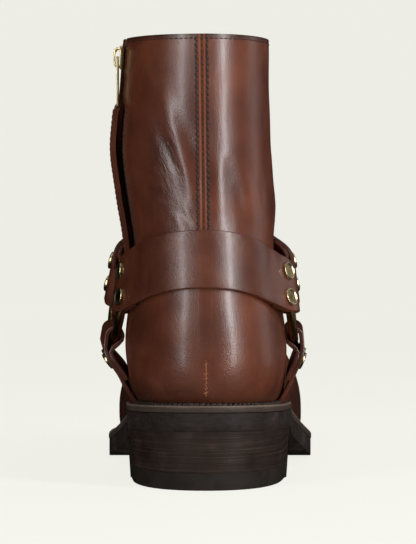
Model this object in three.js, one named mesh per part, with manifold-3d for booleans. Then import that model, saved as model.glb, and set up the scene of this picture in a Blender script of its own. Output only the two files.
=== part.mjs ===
// Harness ankle boot, right foot, men's about EU 43, in millimetres.
// +Y points to the toe, +Z up, +X to the outer side of the foot, -X to the zip on the inner side.
import * as THREE from "three";
import { mergeVertices } from "three/addons/utils/BufferGeometryUtils.js";
import Module from "manifold-3d";

const wasm = await Module();
wasm.setup();

// Last and upper
const lastLength = 292;
const ballWidth = 96;
const heelWidth = 76.5;
const collarWidth = 70;
const heelHeight = 39.5; // top of the welt at the back
const instepHeight = 112;
const collarHeight = 211;
const upperWall = 2.4;
const ringPoints = 36; // points around one section of the last
const ringsPerRow = 2; // sections worked out for each row of the table
const fit = 0.3; // clearance between pieces that touch

// Sole and heel
const soleThickness = 12; // welt and outsole together
const weltThickness = 3.2;
const weltReachHeel = 5.6; // how far the welt stands out from the feather line
const weltReachBall = 7.6;
const weltReachWaist = 1.8; // the welt is trimmed close at the waist
const waistAt = 122; // narrowest place of the sole from the back of the heel
const insoleThickness = 4.5;
const weltInside = 7.2; // from the feather line in to the welt's inner edge, where the insole lies
const toeSpring = 9;
const seatPitch = 3.4; // fall of the heel seat from its back to the breast
const heelLength = 78;
const topLiftThickness = 8;
const liftCount = 4;
const heelTaper = 2.6; // how far the heel draws in on each side from seat to floor
const ballStart = 203; // flat part of the sole under the ball
const ballEnd = 240;

// Harness
const strapThickness = 2.1;
const strapWidth = 26.5;
const ringOuter = 42;
const ringWire = 4.2;
const ringAhead = 66; // ring centre from the back of the heel
const ringLevel = 86;
const rearStrapLevel = 107.5; // middle of the rear strap at the back seam
const rivetDiameter = 8.6;
const rivetHeight = 1.1;
const rivetSpacing = 12.9;
const rivetBack = 12.5; // rivets from the middle of the ring's wire

// Zip on the inner side
const zipAhead = 42;
const zipSlit = 5.2;
const zipBottom = 99;
const zipTapeWidth = 24;
const zipTapeThickness = 0.9;
const chainWidth = 4.2;
const sliderLength = 11;
const sliderWidth = 8;
const sliderPlate = 1.3;
const sliderDrop = 9; // middle of the slider below the collar
const pullLength = 24;
const pullWidth = 5.6;
const pullThickness = 1.1;

const leather = { color: 0x6b3020, roughness: 0.42, metalness: 0 };
const strapLeather = { color: 0x5a2a1c, roughness: 0.45, metalness: 0 };
const soleRubber = { color: 0x3a322e, roughness: 0.7, metalness: 0 };
const stackLeather = { color: 0x3c302a, roughness: 0.6, metalness: 0 };
const linerLeather = { color: 0xa58560, roughness: 0.8, metalness: 0 };
const brass = { color: 0xb89a5a, roughness: 0.35, metalness: 1 };
const zipCloth = { color: 0x1c1715, roughness: 0.9, metalness: 0 };

const group = new THREE.Group();
const v3 = (x, y, z) => new THREE.Vector3(x, y, z);
const { lerp, clamp, smoothstep: smooth } = THREE.MathUtils;

// Solids: a closed geometry becomes a manifold, and a manifold becomes a named mesh.
function solid(geometry) {
  const plain = new THREE.BufferGeometry();
  plain.setAttribute("position", geometry.getAttribute("position"));
  if (geometry.index) plain.setIndex(geometry.index);
  const merged = mergeVertices(plain, 1e-4);
  const made = new wasm.Manifold(
    new wasm.Mesh({
      numProp: 3,
      vertProperties: merged.attributes.position.array,
      triVerts: new Uint32Array(merged.index.array),
    }),
  );
  return made;
}

function largest(made) {
  const bodies = made.decompose();
  return bodies.reduce((a, b) => (b.volume() > a.volume() ? b : a));
}

function geometryOf(made) {
  const { vertProperties, triVerts, numProp } = made.getMesh();
  const position = new Float32Array((vertProperties.length / numProp) * 3);
  for (let i = 0; i < position.length / 3; i++)
    position.set(vertProperties.subarray(i * numProp, i * numProp + 3), i * 3);
  return new THREE.BufferGeometry()
    .setAttribute("position", new THREE.BufferAttribute(position, 3))
    .setIndex(new THREE.BufferAttribute(triVerts, 1));
}

function piece(name, made, look) {
  const geometry = geometryOf(made);
  geometry.computeVertexNormals();
  const mesh = new THREE.Mesh(geometry, new THREE.MeshStandardMaterial(look));
  mesh.name = name;
  group.add(mesh);
  return mesh;
}

// A closed body through loops of points with as many points each; its ends are closed on their middles.
function loft(loops) {
  const count = loops[0].length;
  const points = loops.flat();
  const middle = (loop) => loop.reduce((a, p) => a.add(p), v3(0, 0, 0)).divideScalar(count);
  const first = points.push(middle(loops[0])) - 1;
  const last = points.push(middle(loops.at(-1))) - 1;
  const index = [];
  const at = (i, j) => i * count + (j % count);
  for (let j = 0; j < count; j++) {
    index.push(first, at(0, j + 1), at(0, j));
    index.push(last, at(loops.length - 1, j), at(loops.length - 1, j + 1));
    for (let i = 0; i + 1 < loops.length; i++) {
      index.push(at(i, j), at(i, j + 1), at(i + 1, j + 1));
      index.push(at(i, j), at(i + 1, j + 1), at(i + 1, j));
    }
  }
  const made = solid(new THREE.BufferGeometry().setFromPoints(points).setIndex(index));
  if (made.volume() > 0) return made;
  for (let i = 0; i < index.length; i += 3) [index[i], index[i + 1]] = [index[i + 1], index[i]];
  return solid(new THREE.BufferGeometry().setFromPoints(points).setIndex(index));
}

// An outline of [y, z] points carried across the boot from one x to another.
function acrossX(outline, from, to) {
  const shape = new THREE.Shape(outline.map(([y, z]) => new THREE.Vector2(y, z)));
  const made = new THREE.ExtrudeGeometry(shape, { depth: to - from, bevelEnabled: false });
  made.applyMatrix4(new THREE.Matrix4().makeBasis(v3(0, 1, 0), v3(0, 0, 1), v3(1, 0, 0)));
  return solid(made.translate(from, 0, 0));
}

// An outline of [x, y] points carried up from one height to another.
function upZ(outline, from, to) {
  const shape = new THREE.Shape(outline.map(([x, y]) => new THREE.Vector2(x, y)));
  const made = new THREE.ExtrudeGeometry(shape, { depth: to - from, bevelEnabled: false });
  return solid(made.translate(0, 0, from));
}

// Underside of the outsole: heel seat, arch, flat ball and toe spring.
const seatUnder = heelHeight - soleThickness;
function underside(y) {
  if (y <= heelLength) return seatUnder - (seatPitch * Math.max(y, 0)) / heelLength;
  if (y < ballStart) {
    const s = (y - heelLength) / (ballStart - heelLength);
    return (seatUnder - seatPitch) * (1 - s * s * (3 - 2 * s));
  }
  if (y <= ballEnd) return 0;
  return toeSpring * ((y - ballEnd) / (lastLength - ballEnd)) ** 2;
}
const seat = (y) => underside(y) + soleThickness;

// A slab that follows the sole's side profile between two distances above the underside.
const soleSteps = 32;
const soleBack = -12;
const soleFront = lastLength + 14;
function soleSlab(low, high) {
  const stations = Array.from({ length: soleSteps + 1 }, (_, i) => lerp(soleBack, soleFront, i / soleSteps));
  stations.push(heelLength, ballStart, ballEnd);
  stations.sort((a, b) => a - b);
  const lower = stations.map((y) => [y, underside(y) + low]);
  const upper = stations.map((y) => [y, underside(y) + high]).reverse();
  return acrossX([...lower, ...upper], -2 * ballWidth, 2 * ballWidth);
}

// Sections of the last, from the collar round the heel to the toe. Each is an oval on a plane through
// a back or bottom point and a front or top point. y is a share of the last's length. Levels run
// 0 at the floor, 1 at the heel's height, 2 at the instep's and 3 at the collar's. Half widths are
// shares of the width named in the column of, low and high are the ovals' fullness below and above their
// widest place, and widest is that place between the two points.
const columns = ["backY", "back", "frontY", "front", "of", "spine"];
columns.push("outer", "inner", "low", "high", "widest");
const sections = [
  [0.017, 3.0, 0.394, 3.0, "collar", -2.0, 0.449, 0.549, 2.1, 2.3, 0.5],
  [0.015, 2.74, 0.397, 2.755, "collar", -2.0, 0.451, 0.577, 2.1, 2.3, 0.5],
  [0.019, 2.44, 0.411, 2.51, "collar", -2.0, 0.466, 0.614, 2.1, 2.3, 0.5],
  [0.019, 2.14, 0.438, 2.295, "collar", -1.6, 0.491, 0.574, 2.1, 2.2, 0.49],
  [0.007, 1.807, 0.474, 2.15, "heel", -1.2, 0.431, 0.478, 2.2, 2.1, 0.46],
  [0.0, 1.42, 0.512, 2.055, "heel", -1.0, 0.468, 0.478, 2.3, 2.0, 0.42],
  [0.012, 1.062, 0.548, 1.98, "heel", -1.0, 0.508, 0.505, 2.2, 2.0, 0.38],
  [0.075, 0.734, 0.577, 1.897, "heel", -0.8, 0.507, 0.493, 2.2, 2.0, 0.36],
  [0.205, 0.658, 0.606, 1.814, "heel", -0.4, 0.51, 0.486, 2.5, 2.0, 0.34],
  [0.342, 0.456, 0.64, 1.717, "ball", 0.4, 0.423, 0.4, 3.1, 2.0, 0.32],
  [0.479, 0.215, 0.68, 1.614, "ball", 1.2, 0.461, 0.448, 3.6, 2.0, 0.31],
  [0.616, 0.127, 0.733, 1.497, "ball", 1.2, 0.502, 0.495, 3.6, 2.0, 0.31],
  [0.75, 0.139, 0.796, 1.379, "ball", -0.4, 0.496, 0.485, 3.6, 2.1, 0.33],
  [0.863, 0.203, 0.87, 1.269, "ball", -2.8, 0.45, 0.429, 3.4, 2.2, 0.37],
  [0.942, 0.278, 0.938, 1.131, "ball", -5.0, 0.372, 0.35, 3.0, 2.2, 0.42],
  [0.988, 0.38, 0.985, 0.899, "ball", -6.0, 0.235, 0.214, 2.4, 2.2, 0.45],
  [1.0, 0.6, 1.0, 0.66, "ball", -6.3, 0.02, 0.02, 2.2, 2.2, 0.5],
].map((row) => Object.fromEntries(row.map((value, i) => [columns[i], value])));
const widths = { collar: collarWidth, heel: heelWidth, ball: ballWidth };

function levelHeight(level) {
  const heights = [0, heelHeight, instepHeight, collarHeight];
  const below = clamp(Math.floor(level), 0, 2);
  return lerp(heights[below], heights[below + 1], level - below);
}

// The table's rows as real sizes, with smooth sections worked out between them.
const sizedRows = sections.map((row) => ({
  backY: row.backY * lastLength,
  backZ: levelHeight(row.back),
  frontY: row.frontY * lastLength,
  frontZ: levelHeight(row.front),
  spine: row.spine,
  outer: row.outer * widths[row.of],
  inner: row.inner * widths[row.of],
  low: row.low,
  high: row.high,
  widest: row.widest,
}));

function smoothRow(place) {
  const i = Math.min(Math.floor(place), sizedRows.length - 2);
  const t = place - i;
  const near = [i - 1, i, i + 1, i + 2].map((k) => sizedRows[clamp(k, 0, sizedRows.length - 1)]);
  const row = {};
  for (const key of Object.keys(near[0])) {
    const [a, b, c, d] = near.map((n) => n[key]);
    const curve = (2 * a - 5 * b + 4 * c - d) * t * t + (3 * b - a - 3 * c + d) * t ** 3;
    row[key] = 0.5 * (2 * b + (c - a) * t + curve);
  }
  return row;
}

function sectionLoop(row) {
  return Array.from({ length: ringPoints }, (_, j) => {
    const turn = (2 * Math.PI * j) / ringPoints;
    const c = Math.cos(turn);
    const s = Math.sin(turn);
    const power = 2 / (c > 0 ? row.low : row.high);
    const along = -Math.sign(c) * Math.abs(c) ** power;
    const side = Math.sign(s) * Math.abs(s) ** power;
    const place = row.widest + along * (along < 0 ? row.widest : 1 - row.widest);
    return v3(
      row.spine + side * (side > 0 ? row.outer : row.inner),
      lerp(row.backY, row.frontY, place),
      lerp(row.backZ, row.frontZ, place),
    );
  });
}

const ringCount = (sections.length - 1) * ringsPerRow + 1;
const skinLoops = Array.from({ length: ringCount }, (_, i) => sectionLoop(smoothRow(i / ringsPerRow)));
const skinNormals = skinLoops.map((loop, i) =>
  loop.map((_, j) => {
    const before = skinLoops[Math.max(i - 1, 0)][j];
    const after = skinLoops[Math.min(i + 1, ringCount - 1)][j];
    const around = loop[(j + 1) % ringPoints].clone().sub(loop[(j + ringPoints - 1) % ringPoints]);
    return around.cross(after.clone().sub(before)).normalize().negate();
  }),
);
skinNormals[ringCount - 1].forEach((n) => n.set(0, 1, 0));

// The outer surface of the upper moved out by a distance, or in where it is negative.
function skin(out, above = 0) {
  const moved = (p, i, j) => p.clone().addScaledVector(skinNormals[i][j], out);
  const loops = skinLoops.map((loop, i) => loop.map((p, j) => moved(p, i, j)));
  if (above) loops.unshift(loops[0].map((p) => p.clone().add(v3(0, 0, above))));
  return loft(loops);
}

const outerSkin = skin(0);
const clearSkin = skin(fit);
const bothSides = new THREE.MeshBasicMaterial({ side: THREE.DoubleSide });
const outerMesh = new THREE.Mesh(geometryOf(outerSkin), bothSides);
outerMesh.geometry.computeBoundingSphere();
const caster = new THREE.Raycaster();

// Distance from a point inside the boot to its outer surface.
function reach(from, direction) {
  caster.set(from, direction);
  const hits = caster.intersectObject(outerMesh);
  return hits.length ? hits[hits.length - 1].distance : 0;
}

// Feather line: the upper's outline where it meets the welt, from the toe round the heel.
const featherRise = 1.5;
const toeMiddle = -4;
const heelMiddle = -1;
const toeFan = lastLength * 0.8;
const heelFan = heelWidth * 0.55;
const fanSteps = 16;
const sideSteps = 11;
function featherRay(x, y, dx, dy) {
  const direction = v3(dx, dy, 0).normalize();
  let at = y;
  let hit;
  for (let pass = 0; pass < 4; pass++) {
    hit = v3(x, y, seat(at) + featherRise);
    hit.addScaledVector(direction, reach(hit, direction));
    at = hit.y;
  }
  return [hit.x, hit.y];
}
const feather = [];
const fanTurn = (i) => (Math.PI * i) / fanSteps;
const sideAt = (i) => toeFan + ((heelFan - toeFan) * i) / sideSteps;
for (let i = 0; i <= fanSteps; i++)
  feather.push(featherRay(toeMiddle, toeFan, Math.cos(fanTurn(i)), Math.sin(fanTurn(i))));
for (let i = 1; i < sideSteps; i++) feather.push(featherRay(heelMiddle, sideAt(i), -1, 0));
for (let i = 0; i <= fanSteps; i++)
  feather.push(featherRay(heelMiddle, heelFan, -Math.cos(fanTurn(i)), -Math.sin(fanTurn(i))));
for (let i = sideSteps - 1; i > 0; i--) feather.push(featherRay(heelMiddle, sideAt(i), 1, 0));

// The feather line moved out by a distance that may depend on y.
function footprint(distance) {
  return feather.map(([x, y], i) => {
    const [ax, ay] = feather[(i + feather.length - 1) % feather.length];
    const [bx, by] = feather[(i + 1) % feather.length];
    const out = new THREE.Vector2(by - ay, ax - bx).normalize();
    const d = distance(y);
    return [x + out.x * d, y + out.y * d];
  });
}
function weltReach(y) {
  if (y < waistAt) return lerp(weltReachHeel, weltReachWaist, smooth(y, heelLength - 8, waistAt));
  return lerp(weltReachWaist, weltReachBall, smooth(y, waistAt, ballStart));
}

// Upper: the last's skin with its wall, open at the collar and along the feather line.
const belowSeat = acrossX(
  [[soleBack * 2, -60], [soleFront * 2, -60], [soleFront * 2, seat(soleFront)],
    ...Array.from({ length: soleSteps + 1 }, (_, i) => soleFront + ((soleBack - soleFront) * i) / soleSteps)
      .map((y) => [y, seat(y) + fit]),
    [soleBack * 2, seat(soleBack)]],
  -2 * ballWidth, 2 * ballWidth,
);
const slit = acrossX(
  [[zipAhead - zipSlit / 2, zipBottom], [zipAhead + zipSlit / 2, zipBottom],
    [zipAhead + zipSlit / 2, collarHeight + 9], [zipAhead - zipSlit / 2, collarHeight + 9]],
  -ballWidth, 0,
);
const upperShell = largest(outerSkin.subtract(skin(-upperWall, 9)).subtract(belowSeat).subtract(slit));
piece("upper", upperShell, leather);

// Insole, welt and outsole follow the feather line and the sole's profile.
const insoleOutline = footprint(() => -(weltInside + fit));
const outsoleTop = soleThickness - weltThickness - fit;
const insoleSlab = soleSlab(outsoleTop + fit, outsoleTop + fit + insoleThickness);
piece("insole", upZ(insoleOutline, -20, 90).intersect(insoleSlab), linerLeather);

const weltOutline = footprint(weltReach);
const weltOuter = upZ(weltOutline, -20, 90);
const weltInner = upZ(footprint(() => -weltInside), -20, 90);
const weltSlab = soleSlab(soleThickness - weltThickness, soleThickness);
piece("welt", weltOuter.subtract(weltInner).intersect(weltSlab), soleRubber);

const outsoleOutline = footprint((y) => weltReach(y) - 0.3);
piece("outsole", upZ(outsoleOutline, -20, 90).intersect(soleSlab(0, outsoleTop)), soleRubber);

// Heel: stacked lifts over a rubber top lift, drawing in toward the floor.
const heelShape = footprint((y) => weltReach(y) - 0.4).filter(([, y]) => y < heelLength - 1);
const breast = (draw) => heelLength - 2 - draw * 1.4;
function heelLoop(z) {
  const draw = heelTaper * (1 - z / seatUnder);
  const back = heelShape.map(([x, y]) => {
    const side = new THREE.Vector2(x, y - heelFan);
    side.setLength(side.length() - draw);
    return v3(side.x, Math.min(heelFan + side.y, breast(draw)), z);
  });
  back[0].y = breast(draw);
  back.at(-1).y = breast(draw);
  return back;
}
piece("top_lift", loft([heelLoop(0), heelLoop(topLiftThickness)]), soleRubber);
const stackTop = seatUnder - seatPitch;
const liftHeight = (stackTop - topLiftThickness) / liftCount;
const underSeat = soleSlab(-80, -fit);
for (let i = 0; i < liftCount; i++) {
  const bottom = topLiftThickness + fit + i * liftHeight;
  const top = i === liftCount - 1 ? seatUnder + 5 : bottom + liftHeight - fit;
  const lift = loft([heelLoop(bottom), heelLoop(top)]);
  piece(`heel_lift_${i + 1}`, largest(lift.intersect(underSeat)), stackLeather);
}

// Harness rings: one on each side, tilted with the side of the boot.
const ringSides = {
  lateral: { side: 1, stand: 39.6, tilt: 0.12, yaw: 0.04 },
  medial: { side: -1, stand: 43.0, tilt: 0.157, yaw: 0.14 },
};
const ringRadius = (ringOuter - ringWire) / 2;
function ringPlane(ring, y, z) {
  return ring.side * (ring.stand - ring.tilt * (z - ringLevel) + ring.yaw * (y - ringAhead));
}
const ringArcs = 26;
const wireSides = 8;
function ringSolid(ring, wire) {
  const made = new THREE.TorusGeometry(ringRadius, wire / 2, wireSides, ringArcs);
  const ahead = v3(ring.side * ring.yaw, 1, 0).normalize();
  const across = ahead.clone().cross(v3(-ring.side * ring.tilt, 0, 1)).normalize();
  const up = across.clone().cross(ahead);
  made.applyMatrix4(new THREE.Matrix4().makeBasis(ahead, up, across));
  return solid(made.translate(ring.side * ring.stand, ringAhead, ringLevel));
}
const ringRoom = 0.6;
for (const [name, ring] of Object.entries(ringSides)) piece(`ring_${name}`, ringSolid(ring, ringWire), brass);

// A strap runs out from the rings in the direction aim, seen from the side. Its end folds round the ring
// and is riveted to itself. At u from the ring's middle and w across the strap, layer() gives the
// distances of its faces from the boot's middle plane.
const foldWidth = 20; // the strap narrows where it folds round the ring
const foldAt = Math.sqrt((ringRadius - ringWire / 2) ** 2 - (foldWidth / 2) ** 2) + ringWire / 2;
const foldRadius = ringWire / 2 + ringRoom + strapThickness;
const doubled = foldAt + 21; // end of the folded-back layer
const rivetAt = foldAt + rivetBack;
const eyeStraight = foldAt + 5; // the eye keeps its full height up to here and closes at eyeEnd
const eyeEnd = rivetAt - 1.5;
const eyeMiddle = (eyeStraight + eyeEnd) / 2;
const strapRest = fit + 0.6;
const turnRadius = 18; // length of strap for each radian that it has swung round the heel or instep
const acrossSteps = 4;

function strapPoint(strap, u, w) {
  const narrowing = 1 - (1 - foldWidth / strapWidth) * (1 - smooth(u, foldAt, rivetAt));
  return v3(
    -1,
    ringAhead + strap.aim.x * u - strap.aim.y * w * narrowing,
    ringLevel + strap.aim.y * u + strap.aim.x * w * narrowing,
  );
}

// Distance to the upper under a strap, which lies straight across its own width.
function bodyUnder(strap, u, w, out) {
  const [low, middle, high] = [-0.5, 0, 0.5].map((k) => reach(strapPoint(strap, u, k * strapWidth), out));
  const crown = Math.max(middle - (low + high) / 2, 0);
  return lerp(low, high, w / strapWidth + 0.5) + crown;
}

// Both faces of the strap at one place, as distances along the ray from the boot's middle.
function strapFaces(strap, ring, u, w, swing, inset) {
  const from = strapPoint(strap, u, w);
  const out = v3(ring.side * Math.cos(swing), strap.aim.x * Math.sin(swing), strap.aim.y * Math.sin(swing));
  const body = bodyUnder(strap, u, w, out);
  const stand = strap.stand[ring.side > 0 ? "lateral" : "medial"] * (1 - smooth(swing, 0, 1.2));
  const layers = swing === 0 ? 2 - smooth(u, doubled - 5, doubled + 9) : 1;
  const hug = body + strapRest + layers * strapThickness + stand;
  const ringX = Math.abs(ringPlane(ring, from.y, from.z) - from.x);
  const blend = 1 - smooth(u + swing * turnRadius, eyeStraight - 1, strap.settle);
  let face = lerp(hug, ringX + foldRadius, blend);
  let depth = u < doubled && swing === 0 ? 2 * strapThickness : strapThickness;
  if (u < eyeEnd && swing === 0)
    depth = lerp(2 * foldRadius, 2 * strapThickness, smooth(u, eyeStraight, eyeEnd));
  if (u < foldAt) {
    const half = Math.sqrt(Math.max(foldRadius ** 2 - (foldAt - u) ** 2, 0.02));
    face = ringX + half;
    depth = 2 * half;
  }
  return { from, out, outer: face - inset, inner: face - depth + inset };
}

function strapLoop(strap, ring, u, swing, inset, width) {
  const across = Array.from({ length: acrossSteps + 1 }, (_, k) => (k / acrossSteps - 0.5) * width);
  const faces = across.map((w) => strapFaces(strap, ring, u, w, swing, inset));
  const at = (f, distance) => f.from.clone().addScaledVector(f.out, distance);
  return [...faces.map((f) => at(f, f.inner)), ...faces.reverse().map((f) => at(f, f.outer))];
}

const foldSteps = [-1, -0.92, -0.7, -0.38, 0];
function endStations(strap, last) {
  const stations = foldSteps.map((s) => foldAt + s * foldRadius * 0.999);
  stations.push(eyeStraight, eyeMiddle, eyeEnd, rivetAt, (rivetAt + doubled) / 2);
  stations.push(doubled - 0.01, doubled + 0.6);
  const steps = Math.max(Math.ceil((last - doubled) / 7), 1);
  for (let i = 1; i <= steps; i++) stations.push(doubled + 0.6 + ((last - doubled - 0.6) * i) / steps);
  return stations;
}

// The eye left for the ring inside the folded end.
function strapEye(strap, ring) {
  const radius = ringWire / 2 + ringRoom;
  const stations = foldSteps.map((s) => foldAt + s * radius * 0.999);
  const loops = [...stations, eyeStraight, eyeMiddle, eyeEnd - 0.6].map((u) => {
    const loop = strapLoop(strap, ring, u, 0, strapThickness, strapWidth + 8);
    if (u > foldAt) return loop;
    const half = Math.sqrt(Math.max(radius ** 2 - (foldAt - u) ** 2, 0.01));
    return loop.map((p, k) => {
      const x = ringPlane(ring, p.y, p.z);
      return v3(x + ring.side * (k <= acrossSteps ? -half : half), p.y, p.z);
    });
  });
  return loft(loops);
}

const straps = {
  rear: { target: [0, rearStrapLevel], turnAt: 42, settle: foldAt + 19, stand: { lateral: 0, medial: 0 } },
  front: { target: [140, 126], turnAt: 40, settle: foldAt + 28, stand: { lateral: 0, medial: 2 } },
  stirrup: { target: [74, 30], turnAt: 56, settle: foldAt + 20, stand: { lateral: 0, medial: 0 } },
};
for (const strap of Object.values(straps))
  strap.aim = new THREE.Vector2(strap.target[0] - ringAhead, strap.target[1] - ringLevel).normalize();

function withEyes(made, strap, rings) {
  return largest(rings.reduce((cut, ring) => cut.subtract(strapEye(strap, ring)), made.subtract(clearSkin)));
}

const swingSteps = 9;
for (const name of ["rear", "front"]) {
  const strap = straps[name];
  const half = (ring) => {
    const side = endStations(strap, strap.turnAt).map((u) => strapLoop(strap, ring, u, 0, 0, strapWidth));
    for (let i = 1; i <= swingSteps; i++)
      side.push(strapLoop(strap, ring, strap.turnAt, (Math.PI / 2) * (i / swingSteps), 0, strapWidth));
    return side;
  };
  const inner = half(ringSides.medial);
  const outer = half(ringSides.lateral).slice(0, -1).reverse();
  const band = loft([...inner, ...outer]);
  piece(`${name}_strap`, withEyes(band, strap, Object.values(ringSides)), strapLeather);
}

const belowStirrup = belowSeat.translate([0, 0, fit]);
for (const [name, ring] of Object.entries(ringSides)) {
  const strap = straps.stirrup;
  const loops = endStations(strap, strap.turnAt).map((u) => strapLoop(strap, ring, u, 0, 0, strapWidth));
  const band = withEyes(loft(loops).subtract(belowStirrup), strap, [ring]);
  piece(`stirrup_strap_${name}`, band, strapLeather);
}

// Rivets: low brass discs that hold each folded end.
const rivetSides = 12;
const rivetRim = 0.9;
function rivet(strap, ring, w) {
  const at = (u, v) => {
    const f = strapFaces(strap, ring, u, v, 0, 0);
    return f.from.clone().addScaledVector(f.out, f.outer);
  };
  const middle = at(rivetAt, w);
  const along = at(rivetAt + 2, w).sub(at(rivetAt - 2, w));
  const across = at(rivetAt, w + 2).sub(at(rivetAt, w - 2));
  const out = along.cross(across).normalize();
  if (out.x * ring.side < 0) out.negate();
  const r = rivetDiameter / 2;
  const profile = [[0, 0], [r, 0], [r, rivetHeight * 0.5], [r - rivetRim, rivetHeight], [0, rivetHeight]];
  const disc = new THREE.LatheGeometry(profile.map(([x, y]) => new THREE.Vector2(x, y)), rivetSides);
  disc.applyQuaternion(new THREE.Quaternion().setFromUnitVectors(v3(0, 1, 0), out));
  const rest = middle.addScaledVector(out, fit + 0.2);
  return solid(disc.translate(rest.x, rest.y, rest.z));
}
for (const [strapName, strap] of Object.entries(straps))
  for (const [sideName, ring] of Object.entries(ringSides))
    [-0.5, 0.5].forEach((k, i) => {
      piece(`rivet_${strapName}_${sideName}_${i + 1}`, rivet(strap, ring, k * rivetSpacing), brass);
    });

// Zip: tape behind the slit, teeth in it, a slider with its bridge, and a pull that hangs from the bridge.
const zipTop = collarHeight - 2;
const teethSink = 0.2;
function zipStrip(width, low, high) {
  const [back, front] = [zipAhead - width / 2, zipAhead + width / 2];
  return acrossX([[back, low], [front, low], [front, high], [back, high]], -ballWidth, -10);
}
const layerBetween = (near, far) => skin(near, 9).subtract(skin(far, 12));
const tapeLayer = layerBetween(-upperWall - fit, -upperWall - fit - zipTapeThickness);
piece("zip_tape", largest(tapeLayer.intersect(zipStrip(zipTapeWidth, zipBottom - 6, zipTop))), zipCloth);
const teethLayer = layerBetween(-teethSink, -upperWall);
piece("zip_teeth", largest(teethLayer.intersect(zipStrip(chainWidth, zipBottom + 1, zipTop))), brass);

const sliderMiddle = collarHeight - sliderDrop;
const sideFace = (y) => -2 - reach(v3(-2, y, sliderMiddle), v3(-1, 0, 0));
const sliderBase = sideFace(zipAhead + sliderWidth / 2) - fit;
const keelHalf = 1.5; // the part of the slider that stands down onto the teeth
const keelBase = sideFace(zipAhead + chainWidth / 2) + teethSink - fit - 0.1;
const plateFace = sliderBase - sliderPlate;
const bridgeRoom = 2.2;
const bridgeThickness = 0.9;
const bridgeWidth = 2;
const bridgeHalf = sliderLength / 2 - 0.6;
const halfLength = sliderLength / 2;
const halfWidth = sliderWidth / 2;
const plate = acrossX(
  [[-halfWidth + 1.4, -halfLength], [halfWidth - 1.4, -halfLength], [halfWidth, 1], [halfWidth, 3.5],
    [halfWidth - 1.2, halfLength], [-halfWidth + 1.2, halfLength], [-halfWidth, 3.5], [-halfWidth, 1]]
    .map(([y, z]) => [y + zipAhead, z + sliderMiddle]),
  plateFace, sliderBase,
);
const bridgeOut = bridgeRoom + bridgeThickness;
const arch = new THREE.Shape();
arch.moveTo(0.4, -bridgeHalf);
arch.lineTo(0.4, bridgeHalf);
arch.lineTo(-1.2, bridgeHalf);
arch.quadraticCurveTo(-bridgeOut, bridgeHalf - 0.6, -bridgeOut, bridgeHalf - 3);
arch.lineTo(-bridgeOut, -bridgeHalf + 3);
arch.quadraticCurveTo(-bridgeOut, -bridgeHalf + 0.6, -1.2, -bridgeHalf);
arch.closePath();
const archEye = new THREE.Path();
archEye.moveTo(0, -bridgeHalf + 1.2);
archEye.lineTo(-1, -bridgeHalf + 1.2);
archEye.lineTo(-bridgeRoom, -bridgeHalf + 3);
archEye.lineTo(-bridgeRoom, bridgeHalf - 3);
archEye.lineTo(-1, bridgeHalf - 1.2);
archEye.lineTo(0, bridgeHalf - 1.2);
archEye.closePath();
arch.holes.push(archEye);
const bridge = new THREE.ExtrudeGeometry(arch, { depth: bridgeWidth, bevelEnabled: false, curveSegments: 5 });
bridge.applyMatrix4(new THREE.Matrix4().makeBasis(v3(1, 0, 0), v3(0, 0, 1), v3(0, -1, 0)));
bridge.translate(plateFace, zipAhead + bridgeWidth / 2, sliderMiddle);
const keel = acrossX(
  [[-keelHalf, -3.5], [keelHalf, -3.5], [keelHalf, 4.5], [-keelHalf, 4.5]]
    .map(([y, z]) => [y + zipAhead, z + sliderMiddle]),
  plateFace + 0.2, keelBase,
);
piece("zip_slider", plate.add(solid(bridge)).add(keel), brass);

const pullAxisX = plateFace - bridgeRoom / 2;
const pullAxisZ = sliderMiddle;
const pullHalf = pullWidth / 2;
const windowHalf = bridgeWidth / 2 + 0.5;
const pullBar = pullThickness / 2;
const pullShape = new THREE.Shape();
pullShape.moveTo(-pullHalf + 0.8, pullBar);
pullShape.lineTo(-pullHalf, -1);
pullShape.lineTo(-pullHalf, -pullLength + 1.5);
pullShape.quadraticCurveTo(-pullHalf, -pullLength, 0, -pullLength);
pullShape.quadraticCurveTo(pullHalf, -pullLength, pullHalf, -pullLength + 1.5);
pullShape.lineTo(pullHalf, -1);
pullShape.lineTo(pullHalf - 0.8, pullBar);
pullShape.closePath();
const pullWindow = new THREE.Path();
pullWindow.moveTo(-windowHalf, -pullBar);
pullWindow.lineTo(windowHalf, -pullBar);
pullWindow.lineTo(windowHalf, -bridgeHalf - 2.2);
pullWindow.lineTo(-windowHalf, -bridgeHalf - 2.2);
pullWindow.closePath();
pullShape.holes.push(pullWindow);
const pullCut = { depth: pullThickness, bevelEnabled: false, curveSegments: 6 };
const pull = new THREE.ExtrudeGeometry(pullShape, pullCut);
pull.applyMatrix4(new THREE.Matrix4().makeBasis(v3(0, 1, 0), v3(0, 0, 1), v3(1, 0, 0)));
pull.translate(pullAxisX - pullThickness / 2, zipAhead, pullAxisZ);
piece("zip_pull", solid(pull), brass);

// The origin is the middle of the boot's box, on the floor.
const box = new THREE.Box3().setFromObject(group);
group.position.set(-(box.min.x + box.max.x) / 2, -(box.min.y + box.max.y) / 2, -box.min.z);

export default group;
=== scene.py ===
import math

import bpy
import numpy as np
from mathutils import Matrix, Vector, noise
from mathutils.bvhtree import BVHTree


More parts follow.
